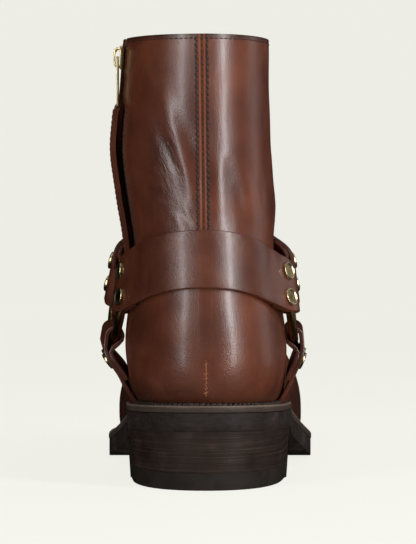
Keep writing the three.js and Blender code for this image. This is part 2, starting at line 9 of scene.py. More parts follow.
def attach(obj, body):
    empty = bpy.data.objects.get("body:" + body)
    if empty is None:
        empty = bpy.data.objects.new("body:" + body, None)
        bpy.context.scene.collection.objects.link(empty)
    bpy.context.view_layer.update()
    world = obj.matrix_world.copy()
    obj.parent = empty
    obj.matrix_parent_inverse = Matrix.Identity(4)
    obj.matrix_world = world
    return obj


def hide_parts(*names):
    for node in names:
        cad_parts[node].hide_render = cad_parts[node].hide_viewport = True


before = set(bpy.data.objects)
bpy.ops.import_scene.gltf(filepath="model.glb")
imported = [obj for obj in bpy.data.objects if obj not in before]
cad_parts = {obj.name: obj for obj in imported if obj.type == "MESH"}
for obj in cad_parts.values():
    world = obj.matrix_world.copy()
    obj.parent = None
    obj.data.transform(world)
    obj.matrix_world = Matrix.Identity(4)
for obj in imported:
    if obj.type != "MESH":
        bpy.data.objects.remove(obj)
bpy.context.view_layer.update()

MM = 0.001

# Studio: a pale floor that runs on into a pale backdrop, soft boxes, and a camera straight behind the
# boot at the height of its harness, with a long lens.
PHOTO_LONG_SIDE = 544
FOCAL_PIXELS = 2799
HORIZON_BELOW_TOP = 219
CAMERA_PLACE = (-0.635, -1436, 125.5)
tilt_down = math.atan((PHOTO_LONG_SIDE / 2 - HORIZON_BELOW_TOP) / FOCAL_PIXELS)
bpy.ops.object.camera_add(
    location=Vector(CAMERA_PLACE) * MM,
    rotation=(math.pi / 2 - tilt_down, 0, 0),
)
camera = bpy.context.object
camera.data.sensor_width = 36
camera.data.lens = FOCAL_PIXELS * camera.data.sensor_width / PHOTO_LONG_SIDE
camera.data.clip_start = 0.01
bpy.context.scene.camera = camera
bpy.context.scene.view_settings.view_transform = "Standard"


class Value:
    """A socket that is used in sums: each operator adds one Math node."""

    def __init__(self, shader, socket):
        self.shader = shader
        self.socket = socket

    def math(self, operation, *others):
        return self.shader.node("ShaderNodeMath", {"operation": operation}, (self, *others))

    def __add__(self, other):
        return self.math("ADD", other)

    def __radd__(self, other):
        return self.math("ADD", other)

    def __sub__(self, other):
        return self.math("SUBTRACT", other)

    def __rsub__(self, other):
        return self.shader.node("ShaderNodeMath", {"operation": "SUBTRACT"}, (other, self))

    def __mul__(self, other):
        return self.math("MULTIPLY", other)

    def __rmul__(self, other):
        return self.math("MULTIPLY", other)

    def above(self, low, high):
        """0 under low, 1 over high and straight between them."""
        values = {"Value": self, "From Min": low, "From Max": high}
        return self.shader.node("ShaderNodeMapRange", {"clamp": True}, values)


class Finish:
    """A material whose colour, gloss and relief are built from nodes."""

    def __init__(self, name, **constants):
        self.material = bpy.data.materials.new(name)
        self.material.use_nodes = True
        self.tree = self.material.node_tree
        self.surface = self.tree.nodes["Principled BSDF"]
        for socket, value in constants.items():
            self.surface.inputs[socket.replace("_", " ")].default_value = value

    def node(self, kind, settings, values, output=0):
        made = self.tree.nodes.new(kind)
        for key, value in settings.items():
            if key == "stops":
                ramp = made.color_ramp
                while len(ramp.elements) < len(value):
                    ramp.elements.new(0.5)
                for stop, (place, colour) in zip(ramp.elements, value):
                    stop.position = place
                    stop.color = (*colour, 1)
            else:
                setattr(made, key, value)
        pairs = values.items() if isinstance(values, dict) else enumerate(values)
        for key, value in pairs:
            if isinstance(value, Value):
                self.tree.links.new(value.socket, made.inputs[key])
            elif value is not None:
                made.inputs[key].default_value = value
        return Value(self, made.outputs[output])

    def place(self):
        return self.node("ShaderNodeTexCoord", {}, (), "Object")

    def stretched(self, scale, turn=(0, 0, 0)):
        values = {"Vector": self.place(), "Scale": scale, "Rotation": turn}
        return self.node("ShaderNodeMapping", {}, values)

    def axis(self, letter):
        return self.node("ShaderNodeSeparateXYZ", {}, {"Vector": self.place()}, letter)

    def painted(self, name):
        return self.node("ShaderNodeAttribute", {"attribute_name": name}, (), "Fac")

    def noise(self, scale, detail=3.0, roughness=0.55, vector=None, distortion=0.0):
        values = {"Vector": vector or self.place(), "Scale": scale, "Detail": detail}
        values.update({"Roughness": roughness, "Distortion": distortion})
        return self.node("ShaderNodeTexNoise", {}, values, "Fac")

    def cells(self, scale):
        values = {"Vector": self.place(), "Scale": scale}
        return self.node("ShaderNodeTexVoronoi", {"feature": "F1"}, values, "Distance")

    def ramp(self, value, *stops):
        return self.node("ShaderNodeValToRGB", {"stops": stops}, (value,))

    def mix(self, factor, low, high):
        low, high = (v if isinstance(v, Value) else (*v, 1) for v in (low, high))
        return self.node("ShaderNodeMix", {"data_type": "RGBA"}, {0: factor, 6: low, 7: high}, 2)

    def relief(self, height, strength, distance, under=None):
        values = {"Height": height, "Strength": strength, "Distance": distance, "Normal": under}
        return self.node("ShaderNodeBump", {}, values)

    def wire(self, **links):
        for socket, value in links.items():
            self.tree.links.new(value.socket, self.surface.inputs[socket.replace("_", " ")])
        return self.material


STUDIO_TONE = (0.86, 0.862, 0.80, 1)
FLOOR_GLOW = 0.945
floor_finish = Finish(
    "pale_floor", Specular_IOR_Level=0.0, Emission_Color=STUDIO_TONE, Emission_Strength=FLOOR_GLOW
)
floor_tone = floor_finish.noise(3.0)
floor_finish.wire(
    Base_Color=floor_finish.mix(floor_tone, (0.14, 0.14, 0.133), (0.16, 0.16, 0.15)),
    Roughness=floor_tone * 0.05 + 0.87,
)

FLOOR_HALF, FLOOR_BEFORE, FLOOR_RUN = 6.0, 3.0, 9.0
BACKDROP_AT, BACKDROP_RADIUS = 2.2, 1.6
flat = FLOOR_BEFORE + BACKDROP_AT
bend = BACKDROP_RADIUS * math.pi / 2
bpy.ops.object.select_all(action="DESELECT")
bpy.ops.mesh.primitive_grid_add(x_subdivisions=4, y_subdivisions=48, size=2)
floor = bpy.context.object
floor.name = "floor"
for vertex in floor.data.vertices:
    along = (vertex.co.y + 1) / 2 * FLOOR_RUN
    x = vertex.co.x * FLOOR_HALF
    if along < flat:
        vertex.co = (x, along - FLOOR_BEFORE, 0)
    elif along < flat + bend:
        turn = (along - flat) / BACKDROP_RADIUS
        rise = BACKDROP_RADIUS * (1 - math.cos(turn))
        vertex.co = (x, BACKDROP_AT + BACKDROP_RADIUS * math.sin(turn), rise)
    else:
        vertex.co = (x, BACKDROP_AT + BACKDROP_RADIUS, BACKDROP_RADIUS + along - flat - bend)
floor.data.materials.append(floor_finish.material)
bpy.ops.object.shade_smooth()
floor.visible_glossy = False


def softbox(name, place, aim, size, watts):
    bpy.ops.object.light_add(type="AREA", location=place)
    lamp = bpy.context.object
    lamp.name = name
    lamp.data.shape = "RECTANGLE"
    lamp.data.size, lamp.data.size_y = size
    lamp.data.energy = watts
    lamp.rotation_euler = (Vector(aim) - Vector(place)).to_track_quat("-Z", "Y").to_euler()


softbox("right_box", (0.86, -0.80, 0.38), (0, 0, 0.12), (0.2, 1.0), 13.5)
softbox("left_box", (-0.66, -0.98, 0.36), (0, 0, 0.12), (0.17, 1.0), 6.8)
softbox("right_rim_box", (0.75, 0.35, 0.4), (0, 0, 0.12), (0.3, 0.9), 0.7)
softbox("top_box", (0.0, -0.1, 1.3), (0, 0, 0.1), (1.0, 1.0), 2.2)
world = bpy.context.scene.world or bpy.data.worlds.new("studio")
bpy.context.scene.world = world
world.use_nodes = True
world.node_tree.nodes["Background"].inputs[0].default_value = STUDIO_TONE
world.node_tree.nodes["Background"].inputs[1].default_value = 1.0
world.cycles_visibility.glossy = False
world.cycles_visibility.diffuse = False

# Upper: smooth waxed leather pulled over the last, with a seam down its back, creases over the ankle and
# the ball, and a slit for the zip on the inner side. It is lasted over the insole and sewn to the welt.
HEEL_BACK = -148.975  # the back of the heel, from where lengths along the boot are counted
MIDDLE = -0.865
LAST_LENGTH = 292
WIDTHS = {"collar": 70, "heel": 76.5, "ball": 96}
HEIGHTS = (0, 39.5, 112, 211)  # floor, heel seat, instep, collar
UPPER_WALL = 2.4
ZIP_AHEAD, ZIP_SLIT, ZIP_BOTTOM = 42, 5.2, 99
COLUMNS = ("backY", "back", "frontY", "front", "of", "spine", "outer", "inner", "low", "high", "widest")
LAST_SECTIONS = (
    (0.017, 3.0, 0.394, 3.0, "collar", -2.0, 0.449, 0.549, 2.1, 2.3, 0.5),
    (0.015, 2.74, 0.397, 2.755, "collar", -2.0, 0.451, 0.577, 2.1, 2.3, 0.5),
    (0.019, 2.44, 0.411, 2.51, "collar", -2.0, 0.466, 0.614, 2.1, 2.3, 0.5),
    (0.019, 2.14, 0.438, 2.295, "collar", -1.6, 0.491, 0.574, 2.1, 2.2, 0.49),
    (0.007, 1.807, 0.474, 2.15, "heel", -1.2, 0.431, 0.478, 2.2, 2.1, 0.46),
    (0.0, 1.42, 0.512, 2.055, "heel", -1.0, 0.468, 0.478, 2.3, 2.0, 0.42),
    (0.012, 1.062, 0.548, 1.98, "heel", -1.0, 0.508, 0.505, 2.2, 2.0, 0.38),
    (0.075, 0.734, 0.577, 1.897, "heel", -0.8, 0.507, 0.493, 2.2, 2.0, 0.36),
    (0.205, 0.658, 0.606, 1.814, "heel", -0.4, 0.51, 0.486, 2.5, 2.0, 0.34),
    (0.342, 0.456, 0.64, 1.717, "ball", 0.4, 0.423, 0.4, 3.1, 2.0, 0.32),
    (0.479, 0.215, 0.68, 1.614, "ball", 1.2, 0.461, 0.448, 3.6, 2.0, 0.31),
    (0.616, 0.127, 0.733, 1.497, "ball", 1.2, 0.502, 0.495, 3.6, 2.0, 0.31),
    (0.75, 0.139, 0.796, 1.379, "ball", -0.4, 0.496, 0.485, 3.6, 2.1, 0.33),
    (0.863, 0.203, 0.87, 1.269, "ball", -2.8, 0.45, 0.429, 3.4, 2.2, 0.37),
    (0.942, 0.278, 0.938, 1.131, "ball", -5.0, 0.372, 0.35, 3.0, 2.2, 0.42),
    (0.988, 0.38, 0.985, 0.899, "ball", -6.0, 0.235, 0.214, 2.4, 2.2, 0.45),
    (1.0, 0.6, 1.0, 0.66, "ball", -6.3, 0.02, 0.02, 2.2, 2.2, 0.5),
)


def sized_section(row):
    """The ten lengths and powers of one section, in the order that last_point reads them."""
    s = dict(zip(COLUMNS, row))
    width = WIDTHS[s["of"]]
    back, front = (np.interp(s[k], range(4), HEIGHTS) for k in ("back", "front"))
    places = (s["backY"] * LAST_LENGTH, back, s["frontY"] * LAST_LENGTH, front, s["spine"])
    return (*places, s["outer"] * width, s["inner"] * width, s["low"], s["high"], s["widest"])


last_rows = np.array([sized_section(row) for row in LAST_SECTIONS])


def last_point(place, turn):
    """A point of the last: place counts sections from the collar, turn goes once round from the back."""
    i = min(int(place), len(last_rows) - 2)
    t = place - i
    a, b, c, d = (last_rows[min(max(k, 0), len(last_rows) - 1)] for k in (i - 1, i, i + 1, i + 2))
    curve = (2 * a - 5 * b + 4 * c - d) * t * t + (3 * b - a - 3 * c + d) * t**3
    row = 0.5 * (2 * b + (c - a) * t + curve)
    back_y, back_z, front_y, front_z, spine, outer, inner, low, high, widest = row
    cosine, sine = math.cos(turn), math.sin(turn)
    power = 2 / (low if cosine > 0 else high)
    along = -math.copysign(abs(cosine) ** power, cosine)
    side = math.copysign(abs(sine) ** power, sine)
    up = widest + along * (widest if along < 0 else 1 - widest)
    x = spine + side * (outer if side > 0 else inner)
    y, z = back_y + (front_y - back_y) * up, back_z + (front_z - back_z) * up
    return Vector((x + MIDDLE, y + HEEL_BACK, z))


def sheet_of(name, across, along, shape, closed=True):
    """A grid primitive shaped by shape(u, v), which gives places in mm, with its ends merged."""
    bpy.ops.object.select_all(action="DESELECT")
    bpy.ops.mesh.primitive_grid_add(x_subdivisions=across, y_subdivisions=along, size=2)
    made = bpy.context.object
    made.name = name
    for vertex in made.data.vertices:
        vertex.co = shape((vertex.co.x + 1) / 2, (vertex.co.y + 1) / 2) * MM
    if closed:
        bpy.ops.object.mode_set(mode="EDIT")
        bpy.ops.mesh.select_all(action="SELECT")
        bpy.ops.mesh.remove_doubles(threshold=0.02 * MM)
        bpy.ops.object.mode_set(mode="OBJECT")
    return made


def select_only(piece):
    bpy.ops.object.select_all(action="DESELECT")
    piece.select_set(True)
    bpy.context.view_layer.objects.active = piece


def modify(piece, kind, **settings):
    select_only(piece)
    made = piece.modifiers.new(kind.lower(), kind)
    for key, value in settings.items():
        setattr(made, key, value)
    bpy.ops.object.modifier_apply(modifier=made.name)


def face_out(piece):
    select_only(piece)
    bpy.ops.object.mode_set(mode="EDIT")
    bpy.ops.mesh.select_all(action="SELECT")
    bpy.ops.mesh.normals_make_consistent(inside=False)
    bpy.ops.object.mode_set(mode="OBJECT")


def finished(piece, body, slot, materials, *nodes, smooth=40):
    """Gives a piece its materials and its body, hides the CAD parts of the nodes that it stands for, and
    shades it smooth where its faces meet at less than an angle in degrees. Its slot is not used."""
    for material in materials:
        piece.data.materials.append(material)
    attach(piece, body)
    if nodes:
        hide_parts(*nodes)
    select_only(piece)
    bpy.ops.object.shade_smooth_by_angle(angle=math.radians(smooth))


def underside(y):
    """Underside of the outsole over the floor, y from the heel's back: seat, arch, ball and toe spring."""
    if y <= HEEL_LENGTH:
        return SEAT_UNDER - SEAT_PITCH * max(y, 0) / HEEL_LENGTH
    if y < BALL_START:
        s = (y - HEEL_LENGTH) / (BALL_START - HEEL_LENGTH)
        return (SEAT_UNDER - SEAT_PITCH) * (1 - s * s * (3 - 2 * s))
    if y <= BALL_END:
        return 0
    return TOE_SPRING * ((y - BALL_END) / (LAST_LENGTH - BALL_END)) ** 2


SOLE_THICKNESS = 12
HEEL_LENGTH = 78
SEAT_UNDER = HEIGHTS[1] - SOLE_THICKNESS
SEAT_PITCH = 3.4
BALL_START, BALL_END = 203, 240
TOE_SPRING = 9
ROWS_A_SECTION = 6
POINTS_AROUND = 104
section_count = len(LAST_SECTIONS) - 1


def upper_shape(u, v):
    if v > 0.9999:
        middle = [last_point(section_count, math.pi * k / 2) for k in range(4)]
        return sum(middle, Vector()) / 4
    return last_point(v * section_count, u * 2 * math.pi)


upper = sheet_of("upper_leather", POINTS_AROUND, ROWS_A_SECTION * section_count, upper_shape)
face_out(upper)
smooth_skin = BVHTree.FromObject(upper, bpy.context.evaluated_depsgraph_get())


def skin_from(origin, direction):
    """Where a ray from outside the boot meets its smooth leather, in mm, with the leather's normal."""
    place, normal, _, _ = smooth_skin.ray_cast(Vector(origin) * MM, Vector(direction))
    return (place / MM, normal) if place else (None, None)


def edit_faces(piece, chosen):
    """Opens a piece for editing with only the chosen faces selected."""
    select_only(piece)
    bpy.ops.object.mode_set(mode="EDIT")
    bpy.ops.mesh.select_mode(type="FACE")
    bpy.ops.mesh.select_all(action="DESELECT")
    bpy.ops.object.mode_set(mode="OBJECT")
    for face in piece.data.polygons:
        face.select = chosen(face.center / MM)
    bpy.ops.object.mode_set(mode="EDIT")


def cut_plane(piece, point, normal, chosen):
    """Cuts the chosen faces of a sheet along a plane."""
    edit_faces(piece, chosen)
    bpy.ops.mesh.bisect(plane_co=Vector(point) * MM, plane_no=normal)
    bpy.ops.object.mode_set(mode="OBJECT")


def delete_faces(piece, chosen):
    edit_faces(piece, chosen)
    bpy.ops.mesh.delete(type="FACE")
    bpy.ops.object.mode_set(mode="OBJECT")


slit_y = ZIP_AHEAD + HEEL_BACK
for edge in (slit_y - ZIP_SLIT / 2, slit_y + ZIP_SLIT / 2):
    cut_plane(upper, (0, edge, 0), (0, 1, 0), lambda c: c.x < -10 and c.z > ZIP_BOTTOM - 8)
cut_plane(
    upper, (0, 0, ZIP_BOTTOM), (0, 0, 1), lambda c: c.x < -10 and abs(c.y - slit_y) < ZIP_SLIT / 2
)
delete_faces(upper, lambda c: c.x < -10 and c.z > ZIP_BOTTOM and abs(c.y - slit_y) < ZIP_SLIT / 2)
TUCKED_UNDER = 1.5  # the leather runs on below the welt's top, out of sight
delete_faces(upper, lambda c: c.z < underside(c.y - HEEL_BACK) + SOLE_THICKNESS - TUCKED_UNDER - 3)
modify(upper, "SUBSURF", levels=1, render_levels=1, boundary_smooth="PRESERVE_CORNERS")

# Creases as a wearer's foot makes them, each a soft trough with a ridge on both sides. Points are seen
# from the side named: from behind as x and height, from a side as length from the heel and height, and
# from above as x and length. Depth and half width are in mm.
VIEWS = {
    "behind": lambda a, b: ((a + MIDDLE, -400, b), (0, 1, 0)),
    "outer": lambda a, b: ((300, a + HEEL_BACK, b), (-1, 0, 0)),
    "inner": lambda a, b: ((-300, a + HEEL_BACK, b), (1, 0, 0)),
    "above": lambda a, b: ((a, b + HEEL_BACK, 400), (0, 0, -1)),
}
CREASES = (
    (
        "behind", ((-21.5, 188), (-17.3, 169.5), (-14.6, 163), (-10.6, 151.5), (-7.3, 140), (-6, 128)),
        -0.55, 3.0,
    ),
    ("behind", ((-25.4, 170), (-19.2, 158), (-15, 150.5), (-11.5, 145)), 0.2, 1.6),
    ("behind", ((-28, 164), (-22.5, 156), (-18, 149.5)), 0.12, 1.4),
    ("behind", ((-29, 155), (-24, 151.5), (-19, 145), (-16, 141)), 0.14, 1.5),
    ("behind", ((-28, 147), (-23.5, 145), (-18.5, 139.5)), 0.24, 1.1),
    ("behind", ((-27, 140), (-22, 138), (-18, 134)), 0.2, 1.0),
    ("behind", ((-13.5, 131), (-10, 126), (-7, 121.5)), 0.42, 1.3),
    ("behind", ((-17, 131.5), (-13, 127), (-10, 122)), 0.3, 1.2),
    ("behind", ((-10.5, 133), (-7.5, 129), (-5, 126)), 0.25, 1.0),
    ("behind", ((5, 156), (4.6, 146), (4.8, 134), (6.5, 121)), -0.38, 3.0),
    ("behind", ((8, 151), (12, 149.5), (16, 149.8)), 0.22, 1.0),
    ("behind", ((7.5, 146.5), (12, 145.3), (16.5, 146.5)), 0.18, 1.0),
    ("behind", ((11, 152), (13.5, 140), (17, 127), (21, 121)), 0.3, 3.4),
    ("behind", ((-27, 81), (-20, 84), (-12, 85.5)), 0.18, 2.4),
    ("outer", ((74, 140), (88, 138.5), (104, 141), (116, 145)), 0.7, 3.4),
    ("outer", ((72, 128), (90, 127), (108, 130)), 0.55, 3.2),
    ("outer", ((82, 153), (96, 152), (110, 155)), 0.4, 3.0),
    ("outer", ((100, 118), (120, 104), (134, 94)), 0.5, 3.0),
    ("inner", ((62, 149), (80, 144), (98, 146)), 0.8, 3.6),
    ("inner", ((58, 132), (78, 128), (100, 132)), 0.7, 3.4),
    ("inner", ((108, 118), (126, 103), (138, 94)), 0.5, 3.0),
    ("above", ((-34, 196), (-18, 189), (0, 187), (20, 190), (36, 198)), 1.0, 3.4),
    ("above", ((-36, 208), (-20, 201), (-2, 199), (18, 203), (37, 211)), 1.0, 3.4),
    ("above", ((-30, 184), (-14, 178), (2, 177), (18, 181)), 0.6, 3.0),
    ("above", ((-26, 218), (-10, 213), (8, 214), (24, 220)), 0.5, 2.6),
)


def smooth_line(points, steps=8):
    """Points along a Catmull-Rom curve through the given ones."""
    p = [np.array(q, float) for q in points]
    p = [2 * p[0] - p[1], *p, 2 * p[-1] - p[-2]]
    line = []
    for a, b, c, d in zip(p, p[1:], p[2:], p[3:]):
        for t in np.arange(steps) / steps:
            bend = (2 * a - 5 * b + 4 * c - d) * t * t + (3 * b - a - 3 * c + d) * t**3
            line.append(0.5 * (2 * b + (c - a) * t + bend))
    return [*line, p[-2]]


count = len(upper.data.vertices)
places = np.empty(count * 3)
normals = np.empty(count * 3)
upper.data.vertices.foreach_get("co", places)
upper.data.vertices.foreach_get("normal", normals)
places = places.reshape(-1, 3) / MM
normals = normals.reshape(-1, 3)
lift = np.zeros(count)
for seen_from, points, depth, half_width in CREASES:
    line = [skin_from(*VIEWS[seen_from](*p))[0] for p in smooth_line(points)]
    line = np.array([p for p in line if p is not None])
    gap = np.full(count, 1e9)
    fade = np.zeros(count)
    for k, (a, b) in enumerate(zip(line, line[1:])):
        span = b - a
        t = np.clip((places - a) @ span / (span @ span), 0, 1)
        distance = np.linalg.norm(places - a - t[:, None] * span, axis=1)
        nearer = distance < gap
        gap[nearer] = distance[nearer]
        fade[nearer] = np.sin(np.pi * np.clip((k + t[nearer]) / (len(line) - 1), 0, 1)) ** 0.6
    near = gap / half_width
    profile = -np.exp(-(near**2)) + 0.55 * np.exp(-(((near - 2.0) / 1.0) ** 2))
    lift += depth * fade * profile
for k, place in enumerate(places):
    waist = math.exp(-(((place[2] - 140) / 34) ** 2))
    broad = noise.noise(Vector(place) / 17) * (0.2 + 0.3 * waist)
    fine = noise.noise(Vector(place) / 6.5) * 0.08 * waist
    lift[k] += broad + fine

# The back seam: the two quarters butt together in a narrow trough from the collar down to the heel.
BACK_SEAM = ((-2.5, 211), (-1.4, 100))


def seam_at(z):
    """Where the seam lies from side to side at a height, or at each of several heights."""
    (top_x, top), (low_x, low) = BACK_SEAM
    return np.interp(z, (low, top), (low_x, top_x)) + MIDDLE


behind = places[:, 1] < HEEL_BACK + 14
off_seam = np.where(behind, places[:, 0] - seam_at(places[:, 2]), 99)
seam_on = np.clip((places[:, 2] - 60) / 6, 0, 1)
lift += seam_on * (0.34 * np.exp(-((off_seam / 2.2) ** 2)) - 0.55 * np.exp(-((off_seam / 0.75) ** 2)))
COLLAR_BAND = 2.1
lift -= 0.2 * np.exp(-(((places[:, 2] - HEIGHTS[3] + COLLAR_BAND) / 0.7) ** 2))

# The zip's edges: below the slider the front quarter's cut edge springs outward and the back one lies in.
spring_z = np.clip((places[:, 2] - ZIP_BOTTOM) / 12, 0, 1) * np.clip((184 - places[:, 2]) / 7, 0, 1)
from_slit = places[:, 1] - slit_y
inner_side = (places[:, 0] < -10) & (from_slit > -30)
FRONT_SPRING, BACK_TUCK = 2.7, 1.7
spring = np.where(
    from_slit > 0,
    FRONT_SPRING * np.exp(-((np.maximum(from_slit - ZIP_SLIT / 2, 0) / 15) ** 2)),
    -BACK_TUCK * np.exp(-((np.maximum(-from_slit - ZIP_SLIT / 2, 0) / 11) ** 2)),
)
places[:, 0] -= spring * spring_z * inner_side
places += normals * lift[:, None]
upper.data.vertices.foreach_set("co", (places * MM).ravel())


def paint(piece, name, values):
    """Keeps one number for each vertex, which a finish reads by its name."""
    piece.data.attributes.new(name, "FLOAT", "POINT").data.foreach_set("value", values)


# The depth of the creases, the seam and the bumps is kept on each vertex. The finish uses it to paint shade
# into the troughs and light onto the ridges.
paint(upper, "fold", lift)
# Painted shade: spots where the upper's colour is darkened to stand in for shade. They lie at the heel's
# middle and sides, on the shaft left of the seam, and in a band low on the heel.
SHADE_SPOTS = (  # middle seen from behind as x and height, half sizes, strength
    (0, 74, 13, 15, 0.55), (-33, 74, 7, 16, 0.4), (33, 74, 5, 16, 0.35),
    (-7, 192, 5, 20, 0.35), (-24, 196, 8, 16, 0.2), (0, 52, 30, 4, 0.2),
)
shade_spot_darkening = np.zeros(count)
for x, z, half_x, half_z, strength in SHADE_SPOTS:
    spread = ((places[:, 0] - x - MIDDLE) / half_x) ** 2 + ((places[:, 2] - z) / half_z) ** 2
    shade_spot_darkening += strength * np.exp(-spread) * (places[:, 1] < HEEL_BACK + 40)
paint(upper, "burnished", shade_spot_darkening)
CREASED_AT, CREASED_HALF = (-20, HEEL_BACK, 150), (9, 30, 24)
from_waist = (places - CREASED_AT) / CREASED_HALF
paint(upper, "creased", np.exp(-(from_waist**2).sum(1)))

upper_finish = Finish("burnished_leather", Coat_Roughness=0.22, Specular_IOR_Level=0.6)
broad_tone = upper_finish.noise(16.0, 4.0, 0.6)
cloud = upper_finish.noise(55.0, 5.0, 0.62, distortion=0.4)
# Painted shade and light: the relief's depth makes the colour darker in the troughs and lighter on the
# ridges.
crease_shading = upper_finish.painted("fold")
tone = broad_tone * 0.65 + cloud * 0.35 + crease_shading * 0.12
leather_colour = upper_finish.ramp(
    tone, (0.28, (0.046, 0.010, 0.0045)), (0.46, (0.088, 0.020, 0.008)), (0.62, (0.145, 0.037, 0.015)),
    (0.80, (0.205, 0.064, 0.027)),
)
height = upper_finish.axis("Z")
low_dark = upper_finish.node(
    "ShaderNodeMapRange", {"clamp": True},
    {"Value": height, "From Min": 0.034, "From Max": 0.052, "To Min": 0.75, "To Max": 0.0},
)
collar_dark = height.above(0.2085, 0.2105) * 0.8
dark_edges = upper_finish.mix(low_dark, leather_colour, (0.030, 0.010, 0.006))
# Painted shade: the spots above darken the leather's colour.
dark_edges = upper_finish.mix(upper_finish.painted("burnished"), dark_edges, (0.034, 0.010, 0.005))
dark_edges = upper_finish.mix(collar_dark, dark_edges, (0.022, 0.009, 0.006))
SEAM_SLOPE = (BACK_SEAM[0][0] - BACK_SEAM[1][0]) / (BACK_SEAM[0][1] - BACK_SEAM[1][1])
seam_line = height * SEAM_SLOPE + (BACK_SEAM[1][0] - SEAM_SLOPE * BACK_SEAM[1][1] + MIDDLE) * MM
from_seam = upper_finish.axis("X") - seam_line
at_back = 1 - upper_finish.axis("Y").above(-0.140, -0.138)
above_strap = height.above(0.098, 0.102) * at_back
for middle, half, strength in ((-1.25, 0.45, 0.55), (0.95, 0.4, 0.4)):
    stripe = 1 - (from_seam - middle * MM).math("ABSOLUTE").above(half * 0.5 * MM, half * 1.3 * MM)
    dark_edges = upper_finish.mix(stripe * above_strap * strength, dark_edges, (0.30, 0.085, 0.034))
leather_colour = dark_edges
pores = upper_finish.cells(1500.0)
grain = upper_finish.noise(1500.0, 4.0, 0.65)
wrinkle = upper_finish.noise(170.0, 4.0, 0.55, upper_finish.stretched((0.7, 0.7, 1.5)), 0.6)
turned = upper_finish.stretched((1, 1, 1), (0, 0.62, 0))
along_folds = upper_finish.node("ShaderNodeMapping", {}, {"Vector": turned, "Scale": (1, 1, 0.1)})
fold_lines = upper_finish.noise(420.0, 2.0, 0.5, along_folds, 0.8)
skin_relief = upper_finish.relief(grain * 0.6 + pores * 0.5, 0.3, 0.0004)
skin_relief = upper_finish.relief(wrinkle, 0.12, 0.0009, skin_relief)
skin_relief = upper_finish.relief(fold_lines * upper_finish.painted("creased"), 0.5, 0.0007, skin_relief)
upper_finish.wire(
    Base_Color=leather_colour,
    Roughness=0.26 + cloud * 0.12 + grain * 0.1,
    Coat_Weight=(1 - cloud) * 0.5,
    Normal=skin_relief,
)


def toned_finish(name, specular, tone_noise, dark, light, roughness, relief):
    """A material whose colour and gloss follow one noise. The relief is a noise scale, or None for the
    same noise, with a strength and a distance."""
    finish = Finish(name, Specular_IOR_Level=specular)
    tone = finish.noise(*tone_noise)
    scale, strength, distance = relief
    height = finish.noise(scale) if scale else tone
    return finish.wire(
        Base_Color=finish.mix(tone, dark, light),
        Roughness=tone * 0.2 + roughness,
        Normal=finish.relief(height, strength, distance),
    )


tan_lining = toned_finish(
    "tan_lining", 0.3, (60.0,), (0.20, 0.115, 0.062), (0.33, 0.20, 0.115), 0.6, (1200.0, 0.2, 0.0003)
)

edge_paint = toned_finish(
    "dark_edge_paint", 0.4, (300.0,), (0.013, 0.007, 0.005), (0.035, 0.017, 0.011), 0.4, (None, 0.3, 0.0004)
)

raw_finish = Finish("raw_cut_edge", Specular_IOR_Level=0.25)
raw_tone = raw_finish.noise(420.0, 3.0, 0.6, raw_finish.stretched((1, 1, 0.4)))
raw_colour = raw_finish.mix(raw_tone, (0.20, 0.072, 0.026), (0.42, 0.19, 0.08))
behind_cut = raw_finish.painted("inside").above(0.35, 0.55)
raw_finish.wire(
    Base_Color=raw_finish.mix(behind_cut, raw_colour, (0.012, 0.007, 0.005)),
    Roughness=raw_tone * 0.2 + 0.65,
    Normal=raw_finish.relief(raw_tone, 0.5, 0.0005),
)

modify(
    upper, "SOLIDIFY", thickness=UPPER_WALL * MM, offset=-1, use_rim=True,
    material_offset=1, material_offset_rim=2,
)
paint(upper, "inside", np.arange(len(upper.data.vertices)) >= count)
finished(
    upper, "boot", "upper_leather",
    (upper_finish.material, tan_lining, edge_paint, raw_finish.material), "upper",
    smooth=50,
)
for face in upper.data.polygons:
    centre = face.center / MM
    at_slit = abs(centre.y - slit_y) < ZIP_SLIT / 2 + 0.6 and centre.x < -20
    if face.material_index == 2 and at_slit and centre.z < HEIGHTS[3] - 1:
        face.material_index = 3

# Sole: a leather welt round the boot, an outsole of dark rubber under it with an arch and toe spring, and
# a leather insole inside. The welt is sewn to the outsole with dark waxed thread.
WELT_THICKNESS = 3.2
WELT_REACH = {"heel": 5.6, "waist": 1.8, "ball": 7.6}
WAIST_AT = 122
WELT_INSIDE = 7.2
FIT = 0.3
FEATHER_RISE = 1.5
toe_fan, heel_fan = LAST_LENGTH * 0.8, WIDTHS["heel"] * 0.55
TOE_MIDDLE, HEEL_MIDDLE = -4, -1
FAN_STEPS, SIDE_STEPS = 56, 60


def feather_point(x, y, dx, dy):
    """Where the leather meets the welt, found level with the welt's top in one direction."""
    direction = Vector((dx, dy, 0)).normalized()
    at = y
    for _ in range(4):
        start = Vector((x + MIDDLE, y + HEEL_BACK, underside(at) + SOLE_THICKNESS + FEATHER_RISE))
        hit, _ = skin_from(start + direction * 200, -direction)
        at = hit.y - HEEL_BACK
    return np.array((hit.x - MIDDLE, at))


